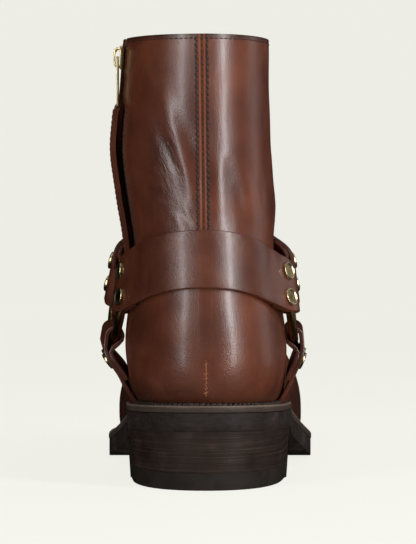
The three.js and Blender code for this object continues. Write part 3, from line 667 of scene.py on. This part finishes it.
feather = []
for k in range(FAN_STEPS + 1):
    turn = math.pi * k / FAN_STEPS
    feather.append(feather_point(TOE_MIDDLE, toe_fan, math.cos(turn), math.sin(turn)))
side_lengths = np.linspace(toe_fan, heel_fan, SIDE_STEPS + 1)[1:-1]
feather += [feather_point(HEEL_MIDDLE, y, -1, 0) for y in side_lengths]
for k in range(FAN_STEPS + 1):
    turn = math.pi * k / FAN_STEPS
    feather.append(feather_point(HEEL_MIDDLE, heel_fan, -math.cos(turn), -math.sin(turn)))
feather += [feather_point(HEEL_MIDDLE, y, 1, 0) for y in side_lengths[::-1]]
feather = np.array(feather)
for _ in range(3):
    feather = (np.roll(feather, 1, 0) + 2 * feather + np.roll(feather, -1, 0)) / 4
feather_out = np.roll(feather, -1, 0) - np.roll(feather, 1, 0)
feather_out = np.stack((feather_out[:, 1], -feather_out[:, 0]), 1)
feather_out /= np.linalg.norm(feather_out, axis=1)[:, None]


def ease(value, low, high):
    t = min(max((value - low) / (high - low), 0), 1)
    return t * t * (3 - 2 * t)


def welt_reach(y):
    """How far the welt stands out from the feather line: trimmed close at the waist."""
    heel, waist, ball = WELT_REACH.values()
    if y < WAIST_AT:
        return heel + (waist - heel) * ease(y, HEEL_LENGTH - 8, WAIST_AT)
    return waist + (ball - waist) * ease(y, WAIST_AT, BALL_START)


def sole_point(k, distance, rise, inward=0.0):
    """A point at a distance out from the feather line and a rise over the outsole's underside.
    With inward the point moves toward the sole's middle line, which it reaches at 1."""
    x, y = feather[k] + feather_out[k] * distance
    middle_y = min(max(feather[k][1], heel_fan), toe_fan)
    middle_x = np.interp(middle_y, (heel_fan, toe_fan), (HEEL_MIDDLE, TOE_MIDDLE))
    x, y = x + (middle_x - x) * inward, y + (middle_y - y) * inward
    return Vector((x + MIDDLE, y + HEEL_BACK, underside(y) + rise))


def ring_of_sole(name, profile):
    """A closed body round the feather line. Each row of the profile gives a distance, a rise and the
    share of the way to the middle line. The distance may depend on y."""
    around = len(feather)

    def shape(u, v):
        k = int(round(u * around)) % around
        distance, rise, inward = profile[int(round(v * (len(profile) - 1)))]
        if callable(distance):
            distance = distance(feather[k][1])
        return sole_point(k, distance, rise, inward)

    made = sheet_of(name, around, len(profile) - 1, shape)
    face_out(made)
    return made


def at_reach(less):
    """A distance that stays by the same share inside the welt's edge where that is trimmed close."""
    return lambda y: welt_reach(y) - less * min(1, welt_reach(y) / WELT_REACH["heel"])


welt_top = SOLE_THICKNESS
welt_low = SOLE_THICKNESS - WELT_THICKNESS
welt = ring_of_sole("welt_strip", (
    (-WELT_INSIDE, welt_top, 0), (-2, welt_top, 0), (at_reach(3.6), welt_top, 0),
    (at_reach(2.9), welt_top - 0.35, 0), (at_reach(2.2), welt_top - 0.35, 0),
    (at_reach(1.5), welt_top, 0), (at_reach(0.5), welt_top - 0.05, 0), (at_reach(0.1), welt_top - 0.4, 0),
    (at_reach(0), welt_top - 1, 0), (at_reach(0), welt_low + 0.5, 0), (at_reach(0.35), welt_low, 0),
    (-WELT_INSIDE, welt_low, 0), (-WELT_INSIDE, welt_top, 0),
))
rise = [v.co.z / MM - underside(v.co.y / MM - HEEL_BACK) for v in welt.data.vertices]
# The top face is marked so that its finish can paint a sheen on it.
paint(welt, "top", [float(r > welt_top - 0.5) for r in rise])
welt_finish = Finish("edge_dressed_welt", Specular_IOR_Level=0.3)
welt_tone = welt_finish.noise(120.0, 4.0)
welt_wear_and_sheen = welt_finish.noise(28.0, 3.0)
welt_dark = welt_finish.mix(welt_tone, (0.016, 0.010, 0.008), (0.045, 0.030, 0.023))
welt_dark = welt_finish.mix(welt_wear_and_sheen * 0.6, welt_dark, (0.075, 0.050, 0.038))
# Painted sheen: the top face is coloured a lighter grey-brown, in patches that follow the welt's wear noise.
welt_finish.wire(
    Base_Color=welt_finish.mix(
        welt_finish.painted("top") * (welt_wear_and_sheen * 0.8 + 0.2), welt_dark, (0.21, 0.15, 0.115)
    ),
    Roughness=welt_tone * 0.25 + 0.42,
    Normal=welt_finish.relief(welt_finish.noise(650.0), 0.3, 0.0005),
)
finished(welt, "boot", "welt_leather", (welt_finish.material,), "welt")

out_top = welt_low - FIT
OUTSOLE_PROFILE = (  # distance inside the welt's edge, rise, share of the way to the middle
    (0.3, out_top, 1), (0.3, out_top, 0.5), (0.3, out_top, 0.1), (0.4, out_top, 0), (0.3, out_top - 0.1, 0),
    (0.3, 6.6, 0), (0.3, 3.4, 0), (0.3, 0.3, 0), (0.55, 0, 0), (1.0, 0, 0.1), (1.0, 0, 0.5), (1.0, 0, 1),
)
outsole = ring_of_sole("outsole_slab", [(at_reach(less), *row) for less, *row in OUTSOLE_PROFILE])
sole_finish = Finish("dark_sole_rubber", Specular_IOR_Level=0.2)
sole_tone = sole_finish.noise(70.0, 5.0, 0.6)
rub = sole_finish.noise(240.0, 3.0, 0.6, sole_finish.stretched((1, 1, 4)))
sole_finish.wire(
    Base_Color=sole_finish.ramp(
        sole_tone * 0.6 + rub * 0.4, (0.32, (0.010, 0.0065, 0.006)), (0.55, (0.023, 0.015, 0.013)),
        (0.72, (0.055, 0.038, 0.032)),
    ),
    Roughness=sole_tone * 0.2 + 0.5,
    Normal=sole_finish.relief(rub + sole_finish.noise(900.0) * 0.5, 0.28, 0.0005),
)
finished(outsole, "boot", "sole_rubber", (sole_finish.material,), "outsole")

insole_low = out_top + FIT
insole_top = insole_low + 4.5
insole = ring_of_sole("insole_board", (
    (-WELT_INSIDE - FIT, insole_low, 1), (-WELT_INSIDE - FIT, insole_low, 0.4),
    (-WELT_INSIDE - FIT, insole_low, 0), (-WELT_INSIDE - FIT, insole_top - 0.6, 0),
    (-WELT_INSIDE - 1, insole_top, 0), (-WELT_INSIDE - 1, insole_top, 0.4), (-WELT_INSIDE - 1, insole_top, 1),
))
insole_hide = toned_finish(
    "vegetable_tanned_insole", 0.3, (45.0, 5.0), (0.24, 0.145, 0.08), (0.42, 0.28, 0.17), 0.55,
    (1100.0, 0.2, 0.0003),
)
finished(insole, "boot", "insole_leather", (insole_hide,), "insole")

# Heel: four lifts of leather, glued and nailed under the seat, with a rubber top lift on the floor. Its
# sides draw in toward the floor, and the edges are inked dark and burnished in fine level lines.
HEEL_TAPER = 2.6
TOP_LIFT = 8
LIFT_COUNT = 4
LIFT_GAP = 0.03
HEEL_REACH_LESS = 0.4
BREAST_STEPS = 24
LIFT_ROUND = 0.05
heel_ids = [k for k in range(len(feather)) if feather[k][1] < HEEL_LENGTH + 4]


def heel_outline(z):
    """The heel's outline at a height: round the back, then straight across the breast."""
    draw = HEEL_TAPER * (1 - z / SEAT_UNDER)
    breast = HEEL_LENGTH - 2 - draw * 1.4
    points = []
    for k in heel_ids:
        x, y = feather[k] + feather_out[k] * (welt_reach(feather[k][1]) - HEEL_REACH_LESS)
        side = Vector((x, y - heel_fan))
        side.length -= draw
        points.append(Vector((side.x, min(heel_fan + side.y, breast))))
    first, last = points[0], points[-1]
    return points + [last.lerp(first, s / BREAST_STEPS) for s in range(1, BREAST_STEPS)]


def heel_body(name, low, high, seated=False):
    """One lift with its edges just rounded. The seated one follows the outsole's underside."""
    around = len(heel_outline(low))
    profile = ((low, 1, 0), (low, 0.3, 0), (low, 0, LIFT_ROUND), (low + LIFT_ROUND, 0, 0),
               (high - LIFT_ROUND, 0, 0), (high, 0, LIFT_ROUND), (high, 0.3, 0), (high, 1, 0))

    def shape(u, v):
        z, inward, less = profile[int(round(v * (len(profile) - 1)))]
        x, y = heel_outline(z)[int(round(u * around)) % around]
        out = Vector((x, y - heel_fan))
        out.length -= less if out.length > less else 0
        x, y = out.x * (1 - inward), heel_fan + out.y * (1 - inward)
        if seated and z > (low + high) / 2:
            z = underside(y) - LIFT_GAP - (high - z)
        return Vector((x + MIDDLE, y + HEEL_BACK, z))

    made = sheet_of(name, around, len(profile) - 1, shape)
    face_out(made)
    return made


stack_finish = Finish("inked_heel_stack", Specular_IOR_Level=0.2)
level_lines = stack_finish.noise(75.0, 3.0, 0.6, stack_finish.stretched((0.25, 0.25, 22)))
stack_tone = stack_finish.noise(90.0, 4.0)
stack_finish.wire(
    Base_Color=stack_finish.ramp(
        level_lines * 0.6 + stack_tone * 0.4, (0.3, (0.009, 0.005, 0.004)), (0.55, (0.024, 0.0135, 0.010)),
        (0.75, (0.064, 0.038, 0.027)),
    ),
    Roughness=stack_tone * 0.2 + 0.42,
    Normal=stack_finish.relief(level_lines, 0.35, 0.0006),
)
lift_rubber = toned_finish(
    "top_lift_rubber", 0.15, (110.0, 4.0), (0.008, 0.0055, 0.005), (0.026, 0.020, 0.0175), 0.5,
    (700.0, 0.3, 0.0004),
)
top_lift = heel_body("rubber_top_lift", 0, TOP_LIFT)
finished(top_lift, "boot", "top_lift_rubber", (lift_rubber,), "top_lift")
lift_height = (SEAT_UNDER - SEAT_PITCH - TOP_LIFT) / LIFT_COUNT
for k in range(LIFT_COUNT):
    low = TOP_LIFT + LIFT_GAP + k * lift_height
    last_one = k == LIFT_COUNT - 1
    high = low + lift_height - LIFT_GAP + (SEAT_PITCH if last_one else 0)
    lift_piece = heel_body(f"leather_lift_{k + 1}", low, high, last_one)
    finished(lift_piece, "boot", "heel_leather", (stack_finish.material,), f"heel_lift_{k + 1}")

# Harness rings: cast brass, browned with age, one on each side, tilted with the side of the boot.
RING_OUTER, RING_WIRE = 42, 4.2
RING_AHEAD, RING_LEVEL = 66, 86
RINGS = {
    "lateral": {"side": 1, "stand": 39.6, "tilt": 0.12, "yaw": 0.04},
    "medial": {"side": -1, "stand": 43.0, "tilt": 0.157, "yaw": 0.14},
}
ring_radius = (RING_OUTER - RING_WIRE) / 2
brass_finish = Finish("aged_brass", Metallic=1.0)
tarnish = brass_finish.noise(140.0, 5.0, 0.65)
pits = brass_finish.noise(900.0, 2.0)
brass_finish.wire(
    Base_Color=brass_finish.ramp(
        tarnish, (0.35, (0.15, 0.085, 0.035)), (0.55, (0.36, 0.225, 0.095)), (0.75, (0.55, 0.38, 0.17)),
    ),
    Roughness=tarnish * 0.25 + 0.2,
    Normal=brass_finish.relief(pits, 0.15, 0.0002),
)
for name, ring in RINGS.items():
    bpy.ops.object.select_all(action="DESELECT")
    bpy.ops.mesh.primitive_torus_add(
        major_radius=ring_radius * MM, minor_radius=RING_WIRE / 2 * MM, major_segments=96, minor_segments=20
    )
    made = bpy.context.object
    made.name = f"brass_ring_{name}"
    ahead = Vector((ring["side"] * ring["yaw"], 1, 0)).normalized()
    across = ahead.cross(Vector((-ring["side"] * ring["tilt"], 0, 1))).normalized()
    up = across.cross(ahead)
    turned = Matrix((ahead, up, across)).transposed().to_4x4()
    centre = Vector((ring["side"] * ring["stand"] + MIDDLE, RING_AHEAD + HEEL_BACK, RING_LEVEL)) * MM
    made.data.transform(Matrix.Translation(centre) @ turned)
    made.matrix_world = Matrix.Identity(4)
    finished(made, "boot", "ring_brass", (brass_finish.material,), f"ring_{name}", smooth=180)

# Straps: thick bridle leather with painted edges. Each end folds round a ring and is riveted to itself.
STRAP_THICKNESS, STRAP_WIDTH = 2.1, 26.5
FOLD_WIDTH = 20
RING_ROOM = 0.6
STRAP_REST = 0.9
TURN_RADIUS = 18
FOLDED_BACK = 21
RIVET_BACK = 12.5
fold_at = math.sqrt((ring_radius - RING_WIRE / 2) ** 2 - (FOLD_WIDTH / 2) ** 2) + RING_WIRE / 2
fold_radius = RING_WIRE / 2 + RING_ROOM + STRAP_THICKNESS
doubled = fold_at + FOLDED_BACK
rivet_at = fold_at + RIVET_BACK
settle_from = fold_at + 4
eye_straight, eye_end = fold_at + 1.5, fold_at + 8
STRAPS = {
    "rear": {"target": (0, 107.5), "turn_at": 42, "settle": fold_at + 19, "stand": (0, 0)},
    "front": {"target": (140, 126), "turn_at": 40, "settle": fold_at + 28, "stand": (0, 2)},
    "stirrup": {"target": (74, 30), "turn_at": 56, "settle": fold_at + 20, "stand": (0, 0)},
}
for strap in STRAPS.values():
    aim = Vector((strap["target"][0] - RING_AHEAD, strap["target"][1] - RING_LEVEL))
    strap["aim"] = aim.normalized()


def strap_base(strap, u, w):
    """The point on the boot's middle plane under a place u along and w across the strap."""
    narrowing = 1 - (1 - FOLD_WIDTH / STRAP_WIDTH) * (1 - ease(u, fold_at, rivet_at))
    aim = strap["aim"]
    y = RING_AHEAD + aim.x * u - aim.y * w * narrowing
    z = RING_LEVEL + aim.y * u + aim.x * w * narrowing
    return Vector((-1 + MIDDLE, y + HEEL_BACK, z))


def leather_under(strap, u, w, out):
    """Distance to the upper under a strap, which lies straight across its own width."""
    reach = []
    for share in (-0.5, 0, 0.5):
        base = strap_base(strap, u, share * STRAP_WIDTH)
        hit, _ = skin_from(base + out * 300, -out)
        reach.append((hit - base).length if hit else 0)
    crown = max(reach[1] - (reach[0] + reach[2]) / 2, 0)
    return reach[0] + (reach[2] - reach[0]) * (w / STRAP_WIDTH + 0.5) + crown


def strap_faces(strap, ring, u, w, swing):
    """Base point, direction out, and distances to the outer and inner faces of the strap."""
    base = strap_base(strap, u, w)
    aim = strap["aim"]
    out = Vector((ring["side"] * math.cos(swing), aim.x * math.sin(swing), aim.y * math.sin(swing)))
    stand = strap["stand"][0 if ring["side"] > 0 else 1] * (1 - ease(swing, 0, 1.2))
    layers = 2 - ease(u, doubled - 5, doubled + 9) if swing == 0 else 1
    hug = leather_under(strap, u, w, out) + STRAP_REST + layers * STRAP_THICKNESS + stand
    y, z = base.y - HEEL_BACK, base.z
    ring_plane = ring["stand"] - ring["tilt"] * (z - RING_LEVEL) + ring["yaw"] * (y - RING_AHEAD)
    ring_x = ring_plane * ring["side"] + MIDDLE
    ring_distance = abs(ring_x - base.x)
    blend = 1 - ease(u + swing * TURN_RADIUS, settle_from, strap["settle"])
    face = hug + (ring_distance + fold_radius - hug) * blend
    depth = 2 * fold_radius + (2 * STRAP_THICKNESS - 2 * fold_radius) * ease(u, eye_straight, eye_end)
    return base, out, face, face - depth, ring_distance


def strap_middle(strap, ring, u, w, swing=0.0, layer="outer", fold=None):
    """A point in the middle of the strap's thickness. fold is the angle round the ring's wire."""
    if fold is not None:
        radius = fold_radius - STRAP_THICKNESS / 2
        at = fold_at - radius * math.cos(fold)
        base, out, _, _, ring_distance = strap_faces(strap, ring, fold_at, w, 0)
        base = strap_base(strap, at, w)
        return base + out * (ring_distance + radius * math.sin(fold))
    base, out, outer, inner, _ = strap_faces(strap, ring, u, w, swing)
    distance = outer - STRAP_THICKNESS / 2 if layer == "outer" else inner + STRAP_THICKNESS / 2
    return base + out * distance


def strap_end(ring, turn_at, swings=()):
    """Stations of one end, from the folded-back layer's end round the ring and out to the turn."""
    stations = [(ring, u, 0, "inner", None) for u in np.linspace(doubled, fold_at, 12)[:-1]]
    stations += [(ring, 0, 0, "outer", fold) for fold in np.linspace(-math.pi / 2, math.pi / 2, 13)]
    outward = np.linspace(fold_at, turn_at, int((turn_at - fold_at) / 2.5) + 2)[1:]
    stations += [(ring, u, 0, "outer", None) for u in outward]
    stations += [(ring, turn_at, swing, "outer", None) for swing in swings]
    return stations


ACROSS_STEPS = 8


def strap_ribbon(name, strap, stations):
    """A ribbon through the stations, given its thickness and just rounded edges."""

    def shape(u, v):
        ring, along, swing, layer, fold = stations[int(round(v * (len(stations) - 1)))]
        return strap_middle(strap, ring, along, (u - 0.5) * STRAP_WIDTH, swing, layer, fold)

    made = sheet_of(name, ACROSS_STEPS, len(stations) - 1, shape, closed=False)
    modify(made, "SOLIDIFY", thickness=STRAP_THICKNESS * MM, offset=0, material_offset_rim=1)
    modify(made, "BEVEL", width=0.45 * MM, segments=3, limit_method="ANGLE", angle_limit=math.radians(60))
    return made


strap_finish = Finish("bridle_leather", Coat_Roughness=0.22, Specular_IOR_Level=0.6)
strap_broad = strap_finish.noise(22.0, 4.0, 0.6)
strap_cloud = strap_finish.noise(75.0, 5.0, 0.6)
strap_grain = strap_finish.noise(1400.0, 4.0, 0.65)
strap_finish.wire(
    Base_Color=strap_finish.ramp(
        strap_broad * 0.6 + strap_cloud * 0.4, (0.3, (0.036, 0.0085, 0.004)), (0.5, (0.074, 0.0175, 0.0075)),
        (0.72, (0.130, 0.036, 0.015)),
    ),
    Roughness=0.25 + strap_cloud * 0.12 + strap_grain * 0.1,
    Coat_Weight=(1 - strap_cloud) * 0.55,
    Normal=strap_finish.relief(
        strap_cloud, 0.15, 0.0015, strap_finish.relief(strap_grain, 0.35, 0.0004)
    ),
)
quarter = np.linspace(0, math.pi / 2, 19)[1:]
for name in ("rear", "front"):
    strap = STRAPS[name]
    medial = strap_end(RINGS["medial"], strap["turn_at"], quarter)
    lateral = strap_end(RINGS["lateral"], strap["turn_at"], quarter[:-1])[::-1]
    made = strap_ribbon(f"{name}_harness_strap", strap, medial + lateral)
    finished(made, "boot", "strap_leather", (strap_finish.material, edge_paint), f"{name}_strap", smooth=50)
for name, ring in RINGS.items():
    strap = STRAPS["stirrup"]
    made = strap_ribbon(f"stirrup_harness_strap_{name}", strap, strap_end(ring, strap["turn_at"] - 3))
    node = f"stirrup_strap_{name}"
    finished(made, "boot", "strap_leather", (strap_finish.material, raw_finish.material), node, smooth=50)

# Rivets: low brass caps with a rolled rim, set in pairs through both layers of each folded end.
RIVET_SPACING = 12.9
RIVET_PROFILE = (
    (0, 0.62), (1.6, 0.6), (2.9, 0.56), (3.2, 0.7), (3.5, 1.0),
    (3.8, 1.1), (4.1, 0.95), (4.3, 0.5), (4.25, -0.2),
)
RIVET_DISH = 3.1
rivet_finish = Finish("rivet_brass", Metallic=1.0)
rivet_tone = rivet_finish.noise(330.0, 4.0)
rivet_finish.wire(
    Base_Color=rivet_finish.mix(
        rivet_finish.painted("dish"),
        rivet_finish.ramp(rivet_tone, (0.3, (0.55, 0.42, 0.20)), (0.6, (0.85, 0.72, 0.42))),
        rivet_finish.ramp(rivet_tone, (0.3, (0.16, 0.11, 0.05)), (0.65, (0.42, 0.32, 0.16))),
    ),
    Roughness=rivet_tone * 0.25 + 0.2,
    Normal=rivet_finish.relief(rivet_tone, 0.15, 0.0003),
)
RIVET_TURNS = 40
for strap_name, strap in STRAPS.items():
    for side_name, ring in RINGS.items():
        for k, share in enumerate((-0.5, 0.5)):
            w = share * RIVET_SPACING

            def on_strap(u, v):
                base, out, face, _, _ = strap_faces(strap, ring, u, v, 0)
                return base + out * face

            along = on_strap(rivet_at + 2, w) - on_strap(rivet_at - 2, w)
            across = on_strap(rivet_at, w + 2) - on_strap(rivet_at, w - 2)
            out = along.cross(across).normalized()
            if out.x * ring["side"] < 0:
                out = -out
            rest = on_strap(rivet_at, w) + out * 0.25
            frame_of = out.to_track_quat("Z", "Y")

            def cap(u, v):
                radius, rise = RIVET_PROFILE[int(round(v * (len(RIVET_PROFILE) - 1)))]
                turn = u * 2 * math.pi
                return rest + frame_of @ Vector((radius * math.cos(turn), radius * math.sin(turn), rise))

            node = f"rivet_{strap_name}_{side_name}_{k + 1}"
            made = sheet_of(f"cap_{node}", RIVET_TURNS, len(RIVET_PROFILE) - 1, cap)
            face_out(made)
            spans = [v.co / MM - rest for v in made.data.vertices]
            paint(made, "dish", [float((s - out * s.dot(out)).length < RIVET_DISH) for s in spans])
            finished(made, "boot", "rivet_brass", (rivet_finish.material,), node, smooth=60)

# Zip: brass teeth on a woven tape behind the slit, with a slider near the collar. Its pull hangs from the
# slider's bridge, which it swings on in use, and rides on a body of its own here.
TOOTH_PITCH = 1.45
TOOTH = (1.1, 2.7, 0.95)  # out of the tape, across it and along it
TEETH_DEEP = 3.1
zip_finish = Finish("polished_brass", Metallic=1.0)
zip_tone = zip_finish.noise(260.0, 4.0)
zip_finish.wire(
    Base_Color=zip_finish.ramp(zip_tone, (0.3, (0.72, 0.55, 0.26)), (0.65, (0.95, 0.80, 0.46))),
    Roughness=zip_tone * 0.2 + 0.3,
    Normal=zip_finish.relief(zip_tone, 0.1, 0.0003),
)
cloth_finish = Finish("woven_zip_tape", Specular_IOR_Level=0.2)
weave = cloth_finish.node(
    "ShaderNodeTexWave", {"bands_direction": "Z"},
    {"Vector": cloth_finish.place(), "Scale": 520.0, "Distortion": 0.6}, "Fac",
)
cloth_finish.wire(
    Base_Color=cloth_finish.mix(weave, (0.006, 0.005, 0.005), (0.022, 0.018, 0.016)),
    Roughness=weave * 0.1 + 0.82,
    Normal=cloth_finish.relief(weave, 0.5, 0.0003),
)


def repeat_mesh(name, template, places):
    """One mesh of many copies of a template, each moved by its own matrix."""
    points = np.array([v.co for v in template.data.vertices])
    faces = [tuple(face.vertices) for face in template.data.polygons]
    all_points, all_faces = [], []
    for k, place in enumerate(places):
        moved = points @ np.array(place.to_3x3()).T + np.array(place.translation)
        all_points.extend(moved)
        all_faces.extend(tuple(index + k * len(points) for index in face) for face in faces)
    mesh = bpy.data.meshes.new(name)
    mesh.from_pydata(all_points, [], all_faces)
    made = bpy.data.objects.new(name, mesh)
    bpy.context.scene.collection.objects.link(made)
    bpy.data.objects.remove(template)
    return made


def stand_on(place, out, along):
    """A matrix whose X runs along, Z out of the surface, at a place in mm."""
    along = (along - out * along.dot(out)).normalized()
    turned = Matrix((along, out.cross(along), out)).transposed().to_4x4()
    return Matrix.Translation(place * MM) @ turned


bpy.ops.object.select_all(action="DESELECT")
bpy.ops.mesh.primitive_cube_add(size=1, scale=(TOOTH[2] * MM, TOOTH[1] * MM, TOOTH[0] * MM))
bpy.ops.object.transform_apply(location=False, rotation=False, scale=True)
tooth = bpy.context.object
modify(tooth, "BEVEL", width=0.2 * MM, segments=1)
tooth_places = []
for k in range(int((HEIGHTS[3] - 3 - ZIP_BOTTOM - 1) / TOOTH_PITCH)):
    z = ZIP_BOTTOM + 2 + k * TOOTH_PITCH
    y = slit_y + (0.75 if k % 2 else -0.75)
    hit, out = skin_from((-300, y, z), (1, 0, 0))
    tooth_places.append(stand_on(hit - out * TEETH_DEEP, out, Vector((0, 0, 1))))
teeth = repeat_mesh("brass_zip_teeth", tooth, tooth_places)
finished(teeth, "boot", "zip_brass", (zip_finish.material,), "zip_teeth", smooth=30)


def cad_copy(name, node):
    """A copy of a CAD node with its loose triangles merged."""
    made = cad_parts[node].copy()
    made.data = made.data.copy()
    made.name = name
    made.parent = None
    for key in [k for k in made.keys() if k.startswith("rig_")]:
        del made[key]
    made.data.materials.clear()
    bpy.context.scene.collection.objects.link(made)
    select_only(made)
    bpy.ops.object.mode_set(mode="EDIT")
    bpy.ops.mesh.select_all(action="SELECT")
    bpy.ops.mesh.remove_doubles(threshold=0.002 * MM)
    bpy.ops.mesh.dissolve_limited(angle_limit=math.radians(1))
    bpy.ops.object.mode_set(mode="OBJECT")
    return made


for name, node, body in (("zip_slider_body", "zip_slider", "boot"), ("zip_pull_tab", "zip_pull", "zip_pull")):
    made = cad_copy(name, node)
    modify(made, "BEVEL", width=0.22 * MM, segments=2, limit_method="ANGLE", angle_limit=math.radians(40))
    finished(made, body, "zip_brass", (zip_finish.material,), node)
tape = cad_copy("woven_tape", "zip_tape")
finished(tape, "boot", "zip_cloth", (cloth_finish.material,), "zip_tape")

# Thread: dark waxed linen. It holds the back seam, the collar, the zip's edges, the heel's rand and the welt.
dark_thread = toned_finish(
    "dark_waxed_thread", 0.4, (1400.0, 2.0), (0.010, 0.006, 0.005), (0.035, 0.020, 0.014), 0.5,
    (None, 0.4, 0.0002),
)
rust_thread = toned_finish(
    "rust_waxed_thread", 0.35, (1400.0, 2.0), (0.13, 0.040, 0.016), (0.34, 0.13, 0.055), 0.5,
    (None, 0.4, 0.0002),
)


def stitch(length, width, height):
    """One stitch: a low oval of thread that dips at both ends."""
    bpy.ops.object.select_all(action="DESELECT")
    bpy.ops.mesh.primitive_uv_sphere_add(
        segments=8, ring_count=5, radius=0.5, rotation=(0, math.pi / 2, 0),
    )
    made = bpy.context.object
    bpy.ops.object.transform_apply(location=False, rotation=True, scale=False)
    made.data.transform(Matrix.Diagonal((length * MM, width * MM, height * MM, 1)))
    return made


def sew(name, path, material, pitch, length, width, height, slant=0.0, sink=0.0, zigzag=0.0, ragged=0.0):
    """Stitches at an even pitch along a path of places with the leather's normals. A ragged row leans
    and spreads unevenly."""
    places = [place for place, _ in path]
    run = np.concatenate(([0], np.cumsum([(b - a).length for a, b in zip(places, places[1:])])))
    matrices = []
    for s in np.arange(pitch / 2, run[-1], pitch):
        k = min(int(np.searchsorted(run, s)) - 1, len(path) - 2)
        t = (s - run[k]) / max(run[k + 1] - run[k], 1e-6)
        place = places[k].lerp(places[k + 1], t)
        out = path[k][1].lerp(path[k + 1][1], t).normalized()
        along = (places[k + 1] - places[k]).normalized()
        uneven = noise.noise(place * 1.7)
        lean = slant + (zigzag if len(matrices) % 2 else -zigzag) + ragged * uneven * 1.6
        size = Matrix.Scale(1 + ragged * noise.noise(place * 2.3 + Vector((7, 3, 1))), 4)
        along = Matrix.Rotation(lean, 3, out) @ along
        matrices.append(stand_on(place - out * (sink + ragged * uneven * 0.4), out, along) @ size)
    made = repeat_mesh(name, stitch(length, width, height), matrices)
    finished(made, "boot", "welt_leather", (material,), smooth=180)
    return made


boot_skin = BVHTree.FromObject(upper, bpy.context.evaluated_depsgraph_get())


def on_leather(origin, direction):
    place, normal, _, _ = boot_skin.ray_cast(Vector(origin) * MM, Vector(direction))
    return place / MM, normal


def back_path(offset, low, high):
    """A path down the back beside the seam."""
    return [on_leather((seam_at(z) + offset, -400, z), (0, 1, 0)) for z in np.arange(high, low, -1.0)]


for name, offset in (("inner", -2.75), ("outer", 2.2)):
    sew(f"back_seam_{name}", back_path(offset, 119, 209.6), dark_thread, 2.75, 2.9, 1.25, 0.9, slant=0.32)
sew("back_seam_middle", back_path(-0.1, 119, 209.8), dark_thread, 2.8, 1.5, 1.1, 0.5)
sew(
    "heel_seam", back_path(0.7, 43, 60.5), rust_thread, 1.15, 2.3, 0.6, 0.55,
    slant=1.0, sink=0.05, zigzag=0.75, ragged=0.6,
)


def collar_path(drop):
    """A path round the shaft at a drop below the collar, from one side of the zip to the other."""
    path = []
    middle = Vector((-3, 60 + HEEL_BACK, HEIGHTS[3] - drop))
    start = math.atan2(slit_y - middle.y, -38)
    opening = 0.11
    for turn in np.linspace(start + opening, start + 2 * math.pi - opening, 240):
        direction = Vector((math.cos(turn), math.sin(turn), 0))
        path.append(on_leather(middle + direction * 150, -direction))
    return path


sew("collar_stitching", collar_path(2.1), dark_thread, 2.4, 2.0, 0.6, 0.5)
for name, offset in (("back", -ZIP_SLIT / 2 - 2.2), ("front", ZIP_SLIT / 2 + 2.2)):
    path = [on_leather((-300, slit_y + offset, z), (1, 0, 0)) for z in np.arange(208.5, ZIP_BOTTOM - 3, -1.0)]
    sew(f"zip_edge_{name}", path, dark_thread, 2.6, 2.1, 0.6, 0.5)
path = [
    on_leather((-300, slit_y + s, ZIP_BOTTOM - 4), (1, 0, 0))
    for s in np.arange(-ZIP_SLIT / 2 - 2.2, ZIP_SLIT / 2 + 2.3, 0.8)
]
sew("zip_end_stitching", path, dark_thread, 2.2, 1.8, 0.6, 0.5)

welt_path = []
for k in [*range(len(feather)), 0]:
    place = sole_point(k, at_reach(2.55)(feather[k][1]), SOLE_THICKNESS - 0.35)
    welt_path.append((place, Vector((0, 0, 1))))
sew("welt_stitching", welt_path, dark_thread, 3.9, 3.2, 0.95, 0.9)

seat_path = []
for k in [*range(len(feather)), 0]:
    place = sole_point(k, 0.9, SOLE_THICKNESS + 0.4)
    seat_path.append((place, Vector((*feather_out[k], 1)).normalized()))
sew("inseam_stitching", seat_path, dark_thread, 2.7, 3.0, 1.9, 1.7, slant=0.3, ragged=0.5)
